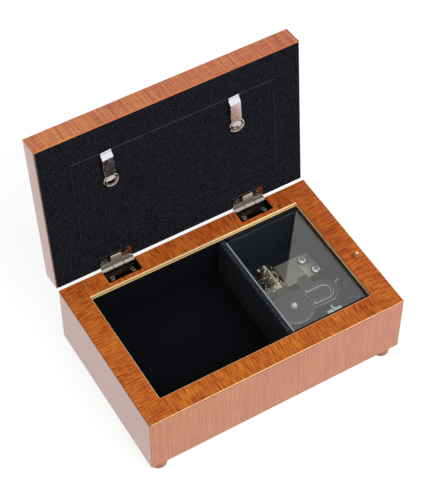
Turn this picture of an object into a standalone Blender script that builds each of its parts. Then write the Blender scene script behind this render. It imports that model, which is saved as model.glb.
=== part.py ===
"""A wooden musical jewellery box with its lid standing open.

The left compartment is a felt lined well. The right one holds an 18 note wind up movement
under a clear pane. Sizes are in metres. +X runs to the right along the hinge side, +Y to the
back and +Z up, from the middle of the bottom panel's underside.
"""

import math

import bmesh
import bpy
from mathutils import Matrix, Vector

# Gaps: FIT lies between pieces that rest on each other, PLAY between a shaft and its hole
FIT = 0.0003
PLAY = 0.0002

# Carcass
BOX_LENGTH = 0.170
BOX_DEPTH = 0.1092
BOX_HEIGHT = 0.0424
WALL = 0.0102
BOTTOM_THICKNESS = 0.0032
RIM_THICKNESS = 0.0032
RIM_SIDE_WIDTH = 0.0141
RIM_FRONT_WIDTH = 0.0134
RIM_BACK_WIDTH = 0.0137
BOARD_EDGE = 0.0004
WALL_DROP = 0.0013
FOOT_RADIUS = 0.0052
FOOT_HEIGHT = 0.0057
FOOT_ROUNDING = 0.0012
FOOT_INSETS = {
    "foot_front_left": (0.0071, 0.0052),
    "foot_front_right": (0.0092, 0.0052),
    "foot_back_left": (0.0077, 0.0052),
    "foot_back_right": (0.0077, 0.0052),
}

# Linings, divider and pane: the movement's bay keeps its width and the well takes the rest
LINING = 0.0015
TRAY_FLOOR = 0.0010
MOVEMENT_BAY = 0.0578
DIVIDER_THICKNESS = 0.0042
PANE_THICKNESS = 0.0020
PANE_DROP = 0.0006
PANE_FROM_DIVIDER = 0.0023
PANE_FROM_WALL = 0.0064
PANE_LEDGE = 0.0008

# Lid: a mitred frame with an outer lip that holds the glazing
LID_THICKNESS = 0.0140
LID_GAP = 0.0012
LID_OPEN = math.radians(95.4)
RAIL_WIDTH = 0.0191
LIP_WIDTH = 0.0050
LIP_THICKNESS = 0.0076
LIP_SLOPE = 0.0036
LIP_SLOPE_DEPTH = 0.0015
RAIL_ROUNDING = 0.0012
MITRE_GAP = 0.0001
GLAZING_THICKNESS = 0.0019
CARD_THICKNESS = 0.0006
FELT_THICKNESS = 0.0006
FELT_INSET = 0.0016
FELT_SEAM = 0.0002

# Hinges
HINGE_FROM_END = 0.0395
MORTISE_WIDTH = 0.0223
MORTISE_REACH = 0.0105
LEAF_WIDTH = 0.0213
LEAF_REACH = 0.0100
LEAF_THICKNESS = 0.0010
LEAF_CORNER = 0.0014
PIVOT_DROP = 0.0010
KNUCKLE_RADIUS = 0.0021
KNUCKLE_GAP = 0.00020
KNUCKLE_CHAMFER = 0.00005
HINGE_PIN_RADIUS = 0.0010
SCREW_REACH = 0.0063
SCREW_SPREAD = 0.0070
SCREW_HEAD_RADIUS = 0.00165
SCREW_SHANK_RADIUS = 0.00075
SCREW_LENGTH = 0.0070

# Swivel clips that hold the lid's backing panel
CLIP_FROM_LEFT_END = 0.0427
CLIP_FROM_RIGHT_END = 0.0447
CLIP_SETBACK = 0.0221
CLIP_TILT = math.radians(4)
CLIP_BASE_RADIUS = 0.0055
CLIP_WIDTH = 0.0072
CLIP_THICKNESS = 0.0006
CLIP_LENGTH = 0.0229
CLIP_CREST = 0.0019
RIVET_HEAD_RADIUS = 0.0034
RIVET_HEAD_HEIGHT = 0.0016
RIVET_SHANK_RADIUS = 0.0013

# Stop: the lid presses a pin, whose wire then stands beside the governor's fan
STOP_PIN_FROM_END = 0.0064
STOP_PIN_Y = -0.0137
STOP_PIN_RADIUS = 0.00095
STOP_PIN_HOLE = 0.0015
STOP_TRAVEL = 0.0050
STOP_WIRE_RADIUS = 0.00055
STOP_WIRE_STEP = 0.0031
GROOVE_SIDE = 0.0030

# Movement: everything along X in it is placed from the spring drum's axis
DRUM_FROM_DIVIDER = 0.0188
DRUM_Y = -0.0138
BEDPLATE_THICKNESS = 0.0022
BEDPLATE_LEFT_OF_DRUM = 0.0118
BEDPLATE_RIGHT_OF_DRUM = 0.0332
BEDPLATE_FRONT = -0.0260
BEDPLATE_BACK = 0.0262
HOUSING_RADIUS = 0.0128
HOUSING_TOP = 0.0224
HOUSING_SHEET = 0.0006
ARBOR_RADIUS = 0.0015
ARBOR_HEAD_RADIUS = 0.0018
ARBOR_HEAD_HEIGHT = 0.0022
SPRING_INNER = 0.0022
SPRING_OUTER = 0.0098
SPRING_STRIP = 0.00035
SPRING_HEIGHT = 0.0078
SPRING_TURNS = 5

# Gears: the drive wheel is a crown wheel that both pinions run on
CROWN_TEETH = 40
CYLINDER_GEAR_TEETH = 16
GOVERNOR_PINION_TEETH = 10
CROWN_OUTER = 0.0119
CROWN_FACE = 0.0017
CROWN_DISC = 0.0013
ADDENDUM = 0.00045
DEDENDUM = 0.00060
PINION_FACE = 0.0015
WORM_WHEEL_TEETH = 20
WORM_WHEEL_RADIUS = 0.0035
WORM_WHEEL_WIDTH = 0.0012
WORM_STARTS = 2
WORM_RADIUS = 0.00115
WORM_CORE = 0.00065
WORM_LENGTH = 0.0064

# Tune cylinder and comb
CYLINDER_RADIUS = 0.0062
CYLINDER_AXIS_Z = 0.0156
CYLINDER_PIN_HEIGHT = 0.0006
CYLINDER_SEGMENTS = 36
SPINDLE_RADIUS = 0.0008
NOTES = 18
NOTE_PITCH = 0.00094
BARREL_MARGIN = 0.0012
COMB_MIDDLE_Y = 0.0122
COMB_THICKNESS = 0.0012
COMB_CLEARANCE = 0.00040
COMB_SLOT = 0.00025
COMB_BACK_NEAR = 0.0325
COMB_BACK_FAR = 0.0310
COMB_ROOT_NEAR = 0.0228
COMB_ROOT_FAR = 0.0192
COMB_SCREWS = {"comb_screw_back": (0.0248, 0.0162), "comb_screw_front": (0.0284, 0.0062)}
COMB_SCREW_RADIUS = 0.0033
COMB_SCREW_HEIGHT = 0.0022
BEARING_WALL = 0.0016

# Governor
GOVERNOR_FROM_DRUM = 0.0210
GOVERNOR_PLATE = 0.0012
GOVERNOR_PLATE_FROM_DRUM = 0.0096
GOVERNOR_PLATE_RADIUS = 0.0082
GOVERNOR_RIB_RADIUS = 0.0049
GOVERNOR_RIB_WIDTH = 0.0016
GOVERNOR_RIB_HEIGHT = 0.0006
GOVERNOR_LEG = 0.0012
GOVERNOR_SHAFT_RADIUS = 0.0007
WORM_SHAFT_RADIUS = 0.0006
FAN_Y = -0.0263
FAN_RADIUS = 0.0050
FAN_BREADTH = 0.0040
FAN_SHEET = 0.0005

# Winding key
KEY_HOLE_RADIUS = 0.0130
KEY_HUB_RADIUS = 0.0034
KEY_SPAN = 0.0210
KEY_SHEET = 0.0016
KEY_CLEARANCE = 0.0005
MOUNTING_SCREWS = {"mounting_screw_back": (-0.0063, 0.0170), "mounting_screw_front": (0.0262, -0.0225)}
MOUNTING_SCREW_RADIUS = 0.0026
MOUNTING_SCREW_HEAD = 0.0012
MOUNTING_SHANK_RADIUS = 0.0012

# Places that follow from the sizes above
HALF_X = BOX_LENGTH / 2
HALF_Y = BOX_DEPTH / 2
INNER_X = HALF_X - WALL
INNER_Y = HALF_Y - WALL
RIM_UNDER = BOX_HEIGHT - RIM_THICKNESS
WALL_TOP = RIM_UNDER - FIT
FLOOR_TOP = BOTTOM_THICKNESS + FIT
DIVIDER_LEFT = INNER_X - MOVEMENT_BAY
DIVIDER_RIGHT = DIVIDER_LEFT + DIVIDER_THICKNESS
PANE_TOP = RIM_UNDER - PANE_DROP
PANE_UNDER = PANE_TOP - PANE_THICKNESS
PANE_LEFT = DIVIDER_LEFT + PANE_FROM_DIVIDER
PANE_RIGHT = HALF_X - RIM_SIDE_WIDTH - FIT
PANE_HALF_DEPTH = INNER_Y - PANE_FROM_WALL
LID_UNDER = BOX_HEIGHT + LID_GAP
LID_TOP = LID_UNDER + LID_THICKNESS
LIP_UNDER = LID_TOP - LIP_THICKNESS
FELT_TOP = LID_UNDER - FIT
FELT_UNDER = FELT_TOP - FELT_THICKNESS
PIVOT = Vector((0.0, HALF_Y, BOX_HEIGHT - PIVOT_DROP))
LOWER_LEAF_TOP = WALL_TOP + FIT + LEAF_THICKNESS
UPPER_LEAF_UNDER = LID_UNDER - FIT - LEAF_THICKNESS
HINGE_X = HALF_X - HINGE_FROM_END
CLIP_PLACES = {"left": CLIP_FROM_LEFT_END - HALF_X, "right": HALF_X - CLIP_FROM_RIGHT_END}
CLIP_Y = RAIL_WIDTH - HALF_Y + CLIP_SETBACK
STOP_PIN_X = HALF_X - STOP_PIN_FROM_END
STOP_WIRE_KNEE = PANE_RIGHT - PANE_LEDGE - 2 * FIT
DRUM_X = DIVIDER_LEFT + DRUM_FROM_DIVIDER
DRUM = Vector((DRUM_X, DRUM_Y, 0.0))
BEDPLATE_LEFT = DRUM_X - BEDPLATE_LEFT_OF_DRUM
BEDPLATE_RIGHT = DRUM_X + BEDPLATE_RIGHT_OF_DRUM
BEDPLATE_UNDER = FLOOR_TOP + TRAY_FLOOR + FIT
BEDPLATE_TOP = BEDPLATE_UNDER + BEDPLATE_THICKNESS
CROWN_INNER = CROWN_OUTER - CROWN_FACE
CROWN_MIDDLE = (CROWN_INNER + CROWN_OUTER) / 2
CYLINDER_GEAR_RADIUS = CROWN_MIDDLE * CYLINDER_GEAR_TEETH / CROWN_TEETH
GOVERNOR_PINION_RADIUS = CROWN_MIDDLE * GOVERNOR_PINION_TEETH / CROWN_TEETH
CROWN_PITCH_Z = CYLINDER_AXIS_Z - CYLINDER_GEAR_RADIUS
CROWN_ROOT_Z = CROWN_PITCH_Z - DEDENDUM
CROWN_TIP_Z = CROWN_PITCH_Z + ADDENDUM
CROWN_UNDER_Z = CROWN_ROOT_Z - CROWN_DISC
PINION_MIDDLE = CROWN_MIDDLE
NOTES_WIDTH = NOTES * NOTE_PITCH
BARREL_START = COMB_MIDDLE_Y - NOTES_WIDTH / 2 - BARREL_MARGIN
BARREL_END = COMB_MIDDLE_Y + NOTES_WIDTH / 2 + BARREL_MARGIN
NEAR_BEARING_Y = BARREL_START - FIT - BEARING_WALL
FAR_BEARING_Y = BARREL_END + FIT
COMB_TIP_X = DRUM_X + CYLINDER_RADIUS + CYLINDER_PIN_HEIGHT + COMB_CLEARANCE
COMB_ROOT_RIGHT = DRUM_X + COMB_ROOT_FAR
COMB_SCREW_PLACES = {name: (DRUM_X + x, y) for name, (x, y) in COMB_SCREWS.items()}
MOUNTING_SCREW_PLACES = {name: (DRUM_X + x, y) for name, (x, y) in MOUNTING_SCREWS.items()}
GOVERNOR_X = DRUM_X + GOVERNOR_FROM_DRUM
COMB_UNDER = CYLINDER_AXIS_Z + COMB_THICKNESS / 2
COMB_TOP = COMB_UNDER + COMB_THICKNESS
SHAFT_Z = CROWN_PITCH_Z + GOVERNOR_PINION_RADIUS
WORM_Z = SHAFT_Z + WORM_WHEEL_RADIUS + WORM_RADIUS
GOVERNOR_PLATE_UNDER = HOUSING_TOP + FIT
GOVERNOR_PLATE_TOP = GOVERNOR_PLATE_UNDER + GOVERNOR_PLATE
STOP_WIRE_Z = WORM_Z + STOP_TRAVEL
WALL_UNDER = -WALL_DROP
GROUND = WALL_UNDER - FOOT_HEIGHT


def collection(name):
    """A collection of this name in the scene."""
    made = bpy.data.collections.new(name)
    bpy.context.scene.collection.children.link(made)
    return made


def linear(hex_colour):
    """An sRGB hex colour as linear RGBA."""
    values = [int(hex_colour[i : i + 2], 16) / 255 for i in (0, 2, 4)]
    return [v / 12.92 if v <= 0.04045 else ((v + 0.055) / 1.055) ** 2.4 for v in values] + [1.0]


def finish(name, hex_colour, roughness, metallic=0.0, transmission=0.0):
    """A Principled material in the piece's own colour."""
    material = bpy.data.materials.new(name)
    material.use_nodes = True
    shader = material.node_tree.nodes["Principled BSDF"]
    shader.inputs["Base Color"].default_value = linear(hex_colour)
    shader.inputs["Roughness"].default_value = roughness
    shader.inputs["Metallic"].default_value = metallic
    shader.inputs["Transmission Weight"].default_value = transmission
    return material


def clear_scene():
    """Removes what the scene holds."""
    for obj in list(bpy.data.objects):
        bpy.data.objects.remove(obj, do_unlink=True)


clear_scene()
PARTS = collection("music_box")
CUTTERS = collection("cutters")
CUTTERS.hide_render = True

VENEER = finish("veneer", "b85a20", 0.35)
RAW_BOARD = finish("raw_board", "d8a878", 0.7)
FOOT_WOOD = finish("foot_wood", "5a3420", 0.45)
BOTTOM_BOARD = finish("bottom_board", "3a2a20", 0.8)
FELT = finish("felt", "17181d", 0.95)
CLEAR = finish("clear_pane", "f4f8f8", 0.05, transmission=1.0)
CARD = finish("card", "efe9dc", 0.8)
NICKEL = finish("nickel", "b8b2ac", 0.25, metallic=1.0)
STEEL = finish("steel", "9a958c", 0.35, metallic=1.0)
ZINC = finish("zinc", "8a8884", 0.5, metallic=1.0)
BRASS = finish("brass", "c0a060", 0.3, metallic=1.0)
SPRING_STEEL = finish("spring_steel", "4a5060", 0.4, metallic=1.0)
NYLON = finish("nylon", "d8e0dc", 0.5)


def place(obj, material=None, tool=False, holder=None, smooth=False):
    """Links an object as a part, or as a cutter, and hangs it on the lid where a holder is given."""
    (CUTTERS if tool else PARTS).objects.link(obj)
    if tool:
        obj.hide_render = True
        obj.display_type = "WIRE"
    if material is not None:
        obj.data.materials.append(material)
    if smooth:
        obj.data.shade_smooth()
        obj.data.set_sharp_from_angle(angle=math.radians(35))
    if holder is not None:
        obj.parent = holder
        obj.location = obj.location - PIVOT
    return obj


def box(name, low, high, material=None, tool=False, holder=None):
    """A block between two corners."""
    low, high = Vector(low), Vector(high)
    size = high - low
    shape = bmesh.new()
    bmesh.ops.create_cube(shape, size=1.0, matrix=Matrix.Diagonal((*size, 1.0)))
    mesh = bpy.data.meshes.new(name)
    shape.to_mesh(mesh)
    shape.free()
    obj = bpy.data.objects.new(name, mesh)
    obj.location = (low + high) / 2
    return place(obj, material, tool, holder)


TURN_TO = {
    "+Z": (0.0, 0.0, 0.0),
    "-Z": (math.pi, 0.0, 0.0),
    "+Y": (-math.pi / 2, 0.0, 0.0),
    "+X": (0.0, math.pi / 2, 0.0),
}


def rod(name, radius, start, length, axis, material=None, tool=False, holder=None, sides=24):
    """A plain cylinder that starts at a point and runs along an axis."""
    shape = bmesh.new()
    bmesh.ops.create_cone(
        shape,
        cap_ends=True,
        segments=sides,
        radius1=radius,
        radius2=radius,
        depth=length,
        matrix=Matrix.Translation((0.0, 0.0, length / 2)),
    )
    mesh = bpy.data.meshes.new(name)
    shape.to_mesh(mesh)
    shape.free()
    obj = bpy.data.objects.new(name, mesh)
    obj.location = start
    obj.rotation_euler = TURN_TO[axis]
    return place(obj, material, tool, holder, smooth=True)


def turned(name, profile, at, axis, material=None, tool=False, holder=None, steps=24, hollow=False):
    """A turned piece from (radius, height) points that run down its outer side.

    A solid profile starts and ends on the axis. A hollow one is a closed loop off the axis.
    """
    mesh = bpy.data.meshes.new(name)
    count = len(profile)
    edges = [(i, i + 1) for i in range(count - 1)]
    if hollow:
        edges.append((count - 1, 0))
    mesh.from_pydata([(radius, 0.0, height) for radius, height in profile], edges, [])
    obj = bpy.data.objects.new(name, mesh)
    obj.location = at
    obj.rotation_euler = TURN_TO[axis]
    screw = obj.modifiers.new("Turn", "SCREW")
    screw.axis = "Z"
    screw.steps = steps
    screw.render_steps = steps
    screw.use_merge_vertices = True
    screw.merge_threshold = 0.00001
    screw.use_smooth_shade = True
    return place(obj, material, tool, holder)


def plate(name, outlines, thickness, at, material=None, tool=False, holder=None, frame=None):
    """A flat piece: the first outline is its edge and the others are its holes.

    The outline lies in the piece's own XY plane and the thickness is centred on it. A frame
    turns the piece's axes to the model's.
    """
    curve = bpy.data.curves.new(name, "CURVE")
    curve.dimensions = "2D"
    curve.fill_mode = "BOTH"
    curve.extrude = thickness / 2
    for outline in outlines:
        spline = curve.splines.new("POLY")
        spline.points.add(len(outline) - 1)
        for point, (x, y) in zip(spline.points, outline):
            point.co = (x, y, 0.0, 1.0)
        spline.use_cyclic_u = True
    blank = bpy.data.objects.new(name + "_outline", curve)
    CUTTERS.objects.link(blank)
    mesh = solid_mesh(blank, name)
    bpy.data.objects.remove(blank, do_unlink=True)
    if frame is not None:
        mesh.transform(frame)
    obj = bpy.data.objects.new(name, mesh)
    obj.location = at
    return place(obj, material, tool, holder)


def solid_mesh(curve_object, name):
    """A curve's evaluated mesh with its caps welded on."""
    depsgraph = bpy.context.evaluated_depsgraph_get()
    mesh = bpy.data.meshes.new_from_object(curve_object.evaluated_get(depsgraph))
    mesh.name = name
    shape = bmesh.new()
    shape.from_mesh(mesh)
    bmesh.ops.remove_doubles(shape, verts=shape.verts, dist=0.000002)
    bmesh.ops.recalc_face_normals(shape, faces=shape.faces)
    shape.to_mesh(mesh)
    shape.free()
    return mesh


def wire(name, points, radius, at, material, ends=2):
    """A round wire along points given from its own origin."""
    curve = bpy.data.curves.new(name, "CURVE")
    curve.dimensions = "3D"
    curve.bevel_depth = radius
    curve.bevel_resolution = ends
    curve.use_fill_caps = True
    spline = curve.splines.new("POLY")
    spline.points.add(len(points) - 1)
    for point, xyz in zip(spline.points, points):
        point.co = (*xyz, 1.0)
    blank = bpy.data.objects.new(name + "_path", curve)
    CUTTERS.objects.link(blank)
    mesh = solid_mesh(blank, name)
    bpy.data.objects.remove(blank, do_unlink=True)
    obj = bpy.data.objects.new(name, mesh)
    obj.location = at
    return place(obj, material, smooth=True)


def combine(target, tool, operation):
    """A Boolean between a part and a tool."""
    modifier = target.modifiers.new(tool.name, "BOOLEAN")
    modifier.operation = operation
    modifier.solver = "EXACT"
    modifier.object = tool
    return target


def cut(target, tool):
    """Cuts a tool out of a part."""
    return combine(target, tool, "DIFFERENCE")


def join(target, tool):
    """Joins a tool to a part as one solid."""
    return combine(target, tool, "UNION")


def ease_edges(obj, width):
    """Takes the sharpness off a piece's edges."""
    bevel = obj.modifiers.new("Edges", "BEVEL")
    bevel.width = width
    bevel.segments = 2
    bevel.limit_method = "ANGLE"
    bevel.angle_limit = math.radians(50)
    return obj


def arc(centre, radius, start, end, steps):
    """Points on an arc, angles in degrees."""
    angles = [math.radians(start + (end - start) * i / steps) for i in range(steps + 1)]
    return [(centre[0] + radius * math.cos(a), centre[1] + radius * math.sin(a)) for a in angles]


def circle(centre, radius, steps=24):
    """Points round a circle."""
    return arc(centre, radius, 0, 360 - 360 / steps, steps - 1)


def rounded_rectangle(low, high, radius, steps=3):
    """A rectangle with round corners."""
    corners = [
        ((high[0] - radius, high[1] - radius), 0),
        ((low[0] + radius, high[1] - radius), 90),
        ((low[0] + radius, low[1] + radius), 180),
        ((high[0] - radius, low[1] + radius), 270),
    ]
    return [p for centre, start in corners for p in arc(centre, radius, start, start + 90, steps)]


def gear_outline(teeth, pitch_radius, base_share, tip_share, phase):
    """A gear's outline. The shares are a tooth's width at root and tip, in tooth pitches."""
    step = 2 * math.pi / teeth
    points = []
    for tooth in range(teeth):
        middle = phase + tooth * step
        for radius, share in (
            (pitch_radius - DEDENDUM, -base_share),
            (pitch_radius + ADDENDUM, -tip_share),
            (pitch_radius + ADDENDUM, tip_share),
            (pitch_radius - DEDENDUM, base_share),
        ):
            angle = middle + share * step / 2
            points.append((radius * math.cos(angle), radius * math.sin(angle)))
    return points


# Frames for plates whose own X, Y and Z run along other axes
FACING_X = Matrix(((0, 0, 1, 0), (1, 0, 0, 0), (0, 1, 0, 0), (0, 0, 0, 1)))
FACING_Y = Matrix(((0, 1, 0, 0), (0, 0, 1, 0), (1, 0, 0, 0), (0, 0, 0, 1)))

SIDES = {"front": 0, "right": 90, "back": 180, "left": 270}


def frame_bar(name, side, profile, material, holder=None):
    """One mitred bar of a rectangular frame as large as the box.

    The profile lists (inset, height) points, the inset counted inwards from the outer face.
    """
    along, across = (HALF_X, HALF_Y) if side in ("front", "back") else (HALF_Y, HALF_X)
    shape = bmesh.new()
    half_length = along - MITRE_GAP
    start = [shape.verts.new((inset - half_length, inset - across, height)) for inset, height in profile]
    grown = bmesh.ops.extrude_face_region(shape, geom=[shape.faces.new(start)])
    for vert in grown["geom"]:
        if isinstance(vert, bmesh.types.BMVert):
            vert.co.x = -vert.co.x
    turn = Matrix.Rotation(math.radians(SIDES[side]), 3, "Z")
    bmesh.ops.rotate(shape, verts=shape.verts, cent=(0, 0, 0), matrix=turn)
    bmesh.ops.recalc_face_normals(shape, faces=shape.faces)
    mesh = bpy.data.meshes.new(name)
    shape.to_mesh(mesh)
    shape.free()
    return place(bpy.data.objects.new(name, mesh), material, holder=holder)


def make_carcass():
    """The four mitred walls, the bottom panel, the rim boards and the feet."""
    profile = [(0.0, WALL_UNDER), (WALL, WALL_UNDER), (WALL, WALL_TOP), (0.0, WALL_TOP)]
    walls = {side: frame_bar("wall_" + side, side, profile, VENEER) for side in SIDES}

    groove_low = (INNER_X - FIT, STOP_PIN_Y - GROOVE_SIDE, STOP_WIRE_Z - STOP_TRAVEL - GROOVE_SIDE)
    groove_high = (STOP_PIN_X + 2 * STOP_PIN_HOLE, STOP_PIN_Y + 2 * GROOVE_SIDE, BOX_HEIGHT)
    cut(walls["right"], box("stop_groove", groove_low, groove_high, tool=True))
    pilot_radius = SCREW_SHANK_RADIUS + PLAY
    for number, x in enumerate(hinge_screw_places()):
        name = f"wall_pilot_{number}"
        start = (x, PIVOT.y - SCREW_REACH, LOWER_LEAF_TOP - SCREW_LENGTH - FIT)
        cut(walls["back"], rod(name, pilot_radius, start, SCREW_LENGTH, "+Z", tool=True, sides=12))

    edge = [(-INNER_X + FIT, -INNER_Y + FIT), (INNER_X - FIT, -INNER_Y + FIT)]
    edge += [(INNER_X - FIT, INNER_Y - FIT), (-INNER_X + FIT, INNER_Y - FIT)]
    holes = [circle((DRUM_X, DRUM_Y), KEY_HOLE_RADIUS, 32)]
    holes += [circle(spot, MOUNTING_SHANK_RADIUS + FIT, 12) for spot in MOUNTING_SCREW_PLACES.values()]
    middle = (0, 0, BOTTOM_THICKNESS / 2)
    bottom = plate("bottom_panel", [edge] + holes, BOTTOM_THICKNESS, middle, BOTTOM_BOARD)
    recess_radius = MOUNTING_SCREW_RADIUS + FIT
    recess_depth = MOUNTING_SCREW_HEAD + 3 * FIT
    for name, (x, y) in MOUNTING_SCREW_PLACES.items():
        cut(bottom, rod(name + "_recess", recess_radius, (x, y, -FIT), recess_depth, "+Z", tool=True))

    side_inner = HALF_X - RIM_SIDE_WIDTH
    butt = side_inner - MITRE_GAP
    front_inner = -HALF_Y + RIM_FRONT_WIDTH
    back_inner = HALF_Y - RIM_BACK_WIDTH
    left = box("rim_left", (-HALF_X, -HALF_Y, RIM_UNDER), (-side_inner, HALF_Y, BOX_HEIGHT), VENEER)
    right = box("rim_right", (side_inner, -HALF_Y, RIM_UNDER), (HALF_X, HALF_Y, BOX_HEIGHT), VENEER)
    front = box("rim_front", (-butt, -HALF_Y, RIM_UNDER), (butt, front_inner, BOX_HEIGHT), VENEER)
    back = box("rim_back", (-butt, back_inner, RIM_UNDER), (butt, HALF_Y, BOX_HEIGHT), VENEER)
    pin_hole_start = (STOP_PIN_X, STOP_PIN_Y, RIM_UNDER - FIT)
    cut(right, rod("pin_hole", STOP_PIN_HOLE, pin_hole_start, 2 * RIM_THICKNESS, "+Z", tool=True))
    for side in (-1, 1):
        low = (side * HINGE_X - MORTISE_WIDTH / 2, HALF_Y - MORTISE_REACH, RIM_UNDER - FIT)
        high = (side * HINGE_X + MORTISE_WIDTH / 2, HALF_Y + FIT, BOX_HEIGHT + FIT)
        cut(back, box(f"mortise_{side}", low, high, tool=True))
    for board in (left, right, front, back):
        ease_edges(board, BOARD_EDGE)

    rounding = arc((FOOT_RADIUS - FOOT_ROUNDING, GROUND + FOOT_ROUNDING), FOOT_ROUNDING, 0, -90, 3)
    foot_top = WALL_UNDER - FIT
    foot = [(0.0, foot_top), (FOOT_RADIUS, foot_top)] + rounding + [(0.0, GROUND)]
    for name, (side_inset, depth_inset) in FOOT_INSETS.items():
        x = HALF_X - side_inset if name.endswith("right") else side_inset - HALF_X
        y = HALF_Y - depth_inset if "back" in name else depth_inset - HALF_Y
        turned(name, foot, (x, y, 0), "+Z", FOOT_WOOD)


def hinge_screw_places():
    """The four places along X where a hinge leaf has a screw."""
    return [side * HINGE_X + spread * SCREW_SPREAD for side in (-1, 1) for spread in (-1, 1)]


def make_linings():
    """The felt tray of the well, the divider, the movement's tray and its pane."""
    well = box(
        "well_lining",
        (-INNER_X + FIT, -INNER_Y + FIT, FLOOR_TOP),
        (DIVIDER_LEFT - FIT, INNER_Y - FIT, WALL_TOP),
        FELT,
    )
    hollow_low = (-INNER_X + FIT + LINING, -INNER_Y + FIT + LINING, FLOOR_TOP + LINING)
    hollow_high = (DIVIDER_LEFT + LINING, INNER_Y - FIT - LINING, BOX_HEIGHT)
    cut(well, box("well_hollow", hollow_low, hollow_high, tool=True))

    box(
        "divider",
        (DIVIDER_LEFT, -INNER_Y + FIT, FLOOR_TOP),
        (DIVIDER_RIGHT, INNER_Y - FIT, PANE_UNDER - FIT),
        FELT,
    )

    tray = box(
        "movement_lining",
        (DIVIDER_RIGHT + FIT, -INNER_Y + FIT, FLOOR_TOP),
        (INNER_X - FIT, INNER_Y - FIT, WALL_TOP),
        FELT,
    )
    tray_half = PANE_HALF_DEPTH - PANE_LEDGE
    hollow_low = (DIVIDER_LEFT, -tray_half, FLOOR_TOP + TRAY_FLOOR)
    hollow_high = (PANE_RIGHT - PANE_LEDGE, tray_half, BOX_HEIGHT)
    cut(tray, box("tray_hollow", hollow_low, hollow_high, tool=True))
    seat_low = (DIVIDER_LEFT, -PANE_HALF_DEPTH - FIT, PANE_UNDER - FIT)
    seat_high = (PANE_RIGHT + FIT, PANE_HALF_DEPTH + FIT, BOX_HEIGHT)
    cut(tray, box("pane_seat", seat_low, seat_high, tool=True))
    slot_low = (PANE_RIGHT - LINING, STOP_PIN_Y - LINING, STOP_WIRE_Z - STOP_TRAVEL - LINING)
    slot_high = (INNER_X, STOP_PIN_Y + GROOVE_SIDE + LINING, STOP_WIRE_Z + LINING)
    cut(tray, box("wire_slot", slot_low, slot_high, tool=True))
    arbor_hole = rod("arbor_hole", 2 * ARBOR_RADIUS, (DRUM_X, DRUM_Y, 0), BEDPLATE_TOP, "+Z", tool=True)
    cut(tray, arbor_hole)
    hole_radius = MOUNTING_SHANK_RADIUS + FIT
    for name, (x, y) in MOUNTING_SCREW_PLACES.items():
        cut(tray, rod(name + "_hole", hole_radius, (x, y, 0), BEDPLATE_TOP, "+Z", tool=True, sides=12))

    pane_low = (PANE_LEFT, -PANE_HALF_DEPTH, PANE_UNDER)
    box("window_pane", pane_low, (PANE_RIGHT, PANE_HALF_DEPTH, PANE_TOP), CLEAR)


def make_lid(lid_axis):
    """The lid's frame, glazing, card, backing panel and felt, modelled closed and hung on its axis."""
    top = LID_TOP - RAIL_ROUNDING
    under = LID_UNDER + RAIL_ROUNDING
    lip = RAIL_WIDTH + LIP_WIDTH
    profile = arc((RAIL_ROUNDING, under), RAIL_ROUNDING, 180, 270, 3)
    profile += [(RAIL_WIDTH, LID_UNDER), (RAIL_WIDTH, LIP_UNDER), (lip, LIP_UNDER)]
    profile += [(lip, LID_TOP - LIP_SLOPE_DEPTH), (lip - LIP_SLOPE, LID_TOP)]
    profile += arc((RAIL_ROUNDING, top), RAIL_ROUNDING, 90, 180, 3)
    rails = {side: frame_bar("lid_rail_" + side, side, profile, VENEER, lid_axis) for side in SIDES}
    pilot_radius = SCREW_SHANK_RADIUS + PLAY
    for number, x in enumerate(hinge_screw_places()):
        name = f"rail_pilot_{number}"
        start = (x, PIVOT.y - SCREW_REACH, LID_UNDER - FIT)
        pilot = rod(name, pilot_radius, start, SCREW_LENGTH, "+Z", tool=True, holder=lid_axis, sides=12)
        cut(rails["back"], pilot)

    half_x = HALF_X - RAIL_WIDTH - FELT_SEAM
    half_y = HALF_Y - RAIL_WIDTH - FELT_SEAM
    glazing_top = LIP_UNDER - FIT
    glazing_under = glazing_top - GLAZING_THICKNESS
    card_top = glazing_under - FIT
    card_under = card_top - CARD_THICKNESS
    glazing_low, glazing_high = (-half_x, -half_y, glazing_under), (half_x, half_y, glazing_top)
    box("lid_glazing", glazing_low, glazing_high, CLEAR, holder=lid_axis)
    box("insert_card", (-half_x, -half_y, card_under), (half_x, half_y, card_top), CARD, holder=lid_axis)
    panel = box(
        "backing_panel",
        (-half_x, -half_y, FELT_UNDER),
        (half_x, half_y, card_under - FIT),
        FELT,
        holder=lid_axis,
    )
    for side_name, x in CLIP_PLACES.items():
        start = (x, CLIP_Y, FELT_UNDER - FIT)
        length = card_under - FELT_UNDER - FIT
        name = "rivet_hole_" + side_name
        hole = rod(name, RIVET_SHANK_RADIUS + FIT, start, length, "+Z", tool=True, holder=lid_axis)
        cut(panel, hole)

    outer_x, outer_y = HALF_X - FELT_INSET, HALF_Y - FELT_INSET
    leaf_room = LEAF_WIDTH / 2 + FIT
    leaf_edge = PIVOT.y - LEAF_REACH - FIT
    edge = [(-outer_x, -outer_y), (outer_x, -outer_y), (outer_x, outer_y)]
    for side in (1, -1):
        right, left = side * HINGE_X + leaf_room, side * HINGE_X - leaf_room
        edge += [(right, outer_y), (right, leaf_edge), (left, leaf_edge), (left, outer_y)]
    edge.append((-outer_x, outer_y))
    far_x = HALF_X - RAIL_WIDTH + FELT_SEAM
    far_y = HALF_Y - RAIL_WIDTH + FELT_SEAM
    window = [(-far_x, -far_y), (far_x, -far_y), (far_x, far_y), (-far_x, far_y)]
    middle = (0, 0, (FELT_TOP + FELT_UNDER) / 2)
    plate("lid_felt", [edge, window], FELT_THICKNESS, middle, FELT, holder=lid_axis)


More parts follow.
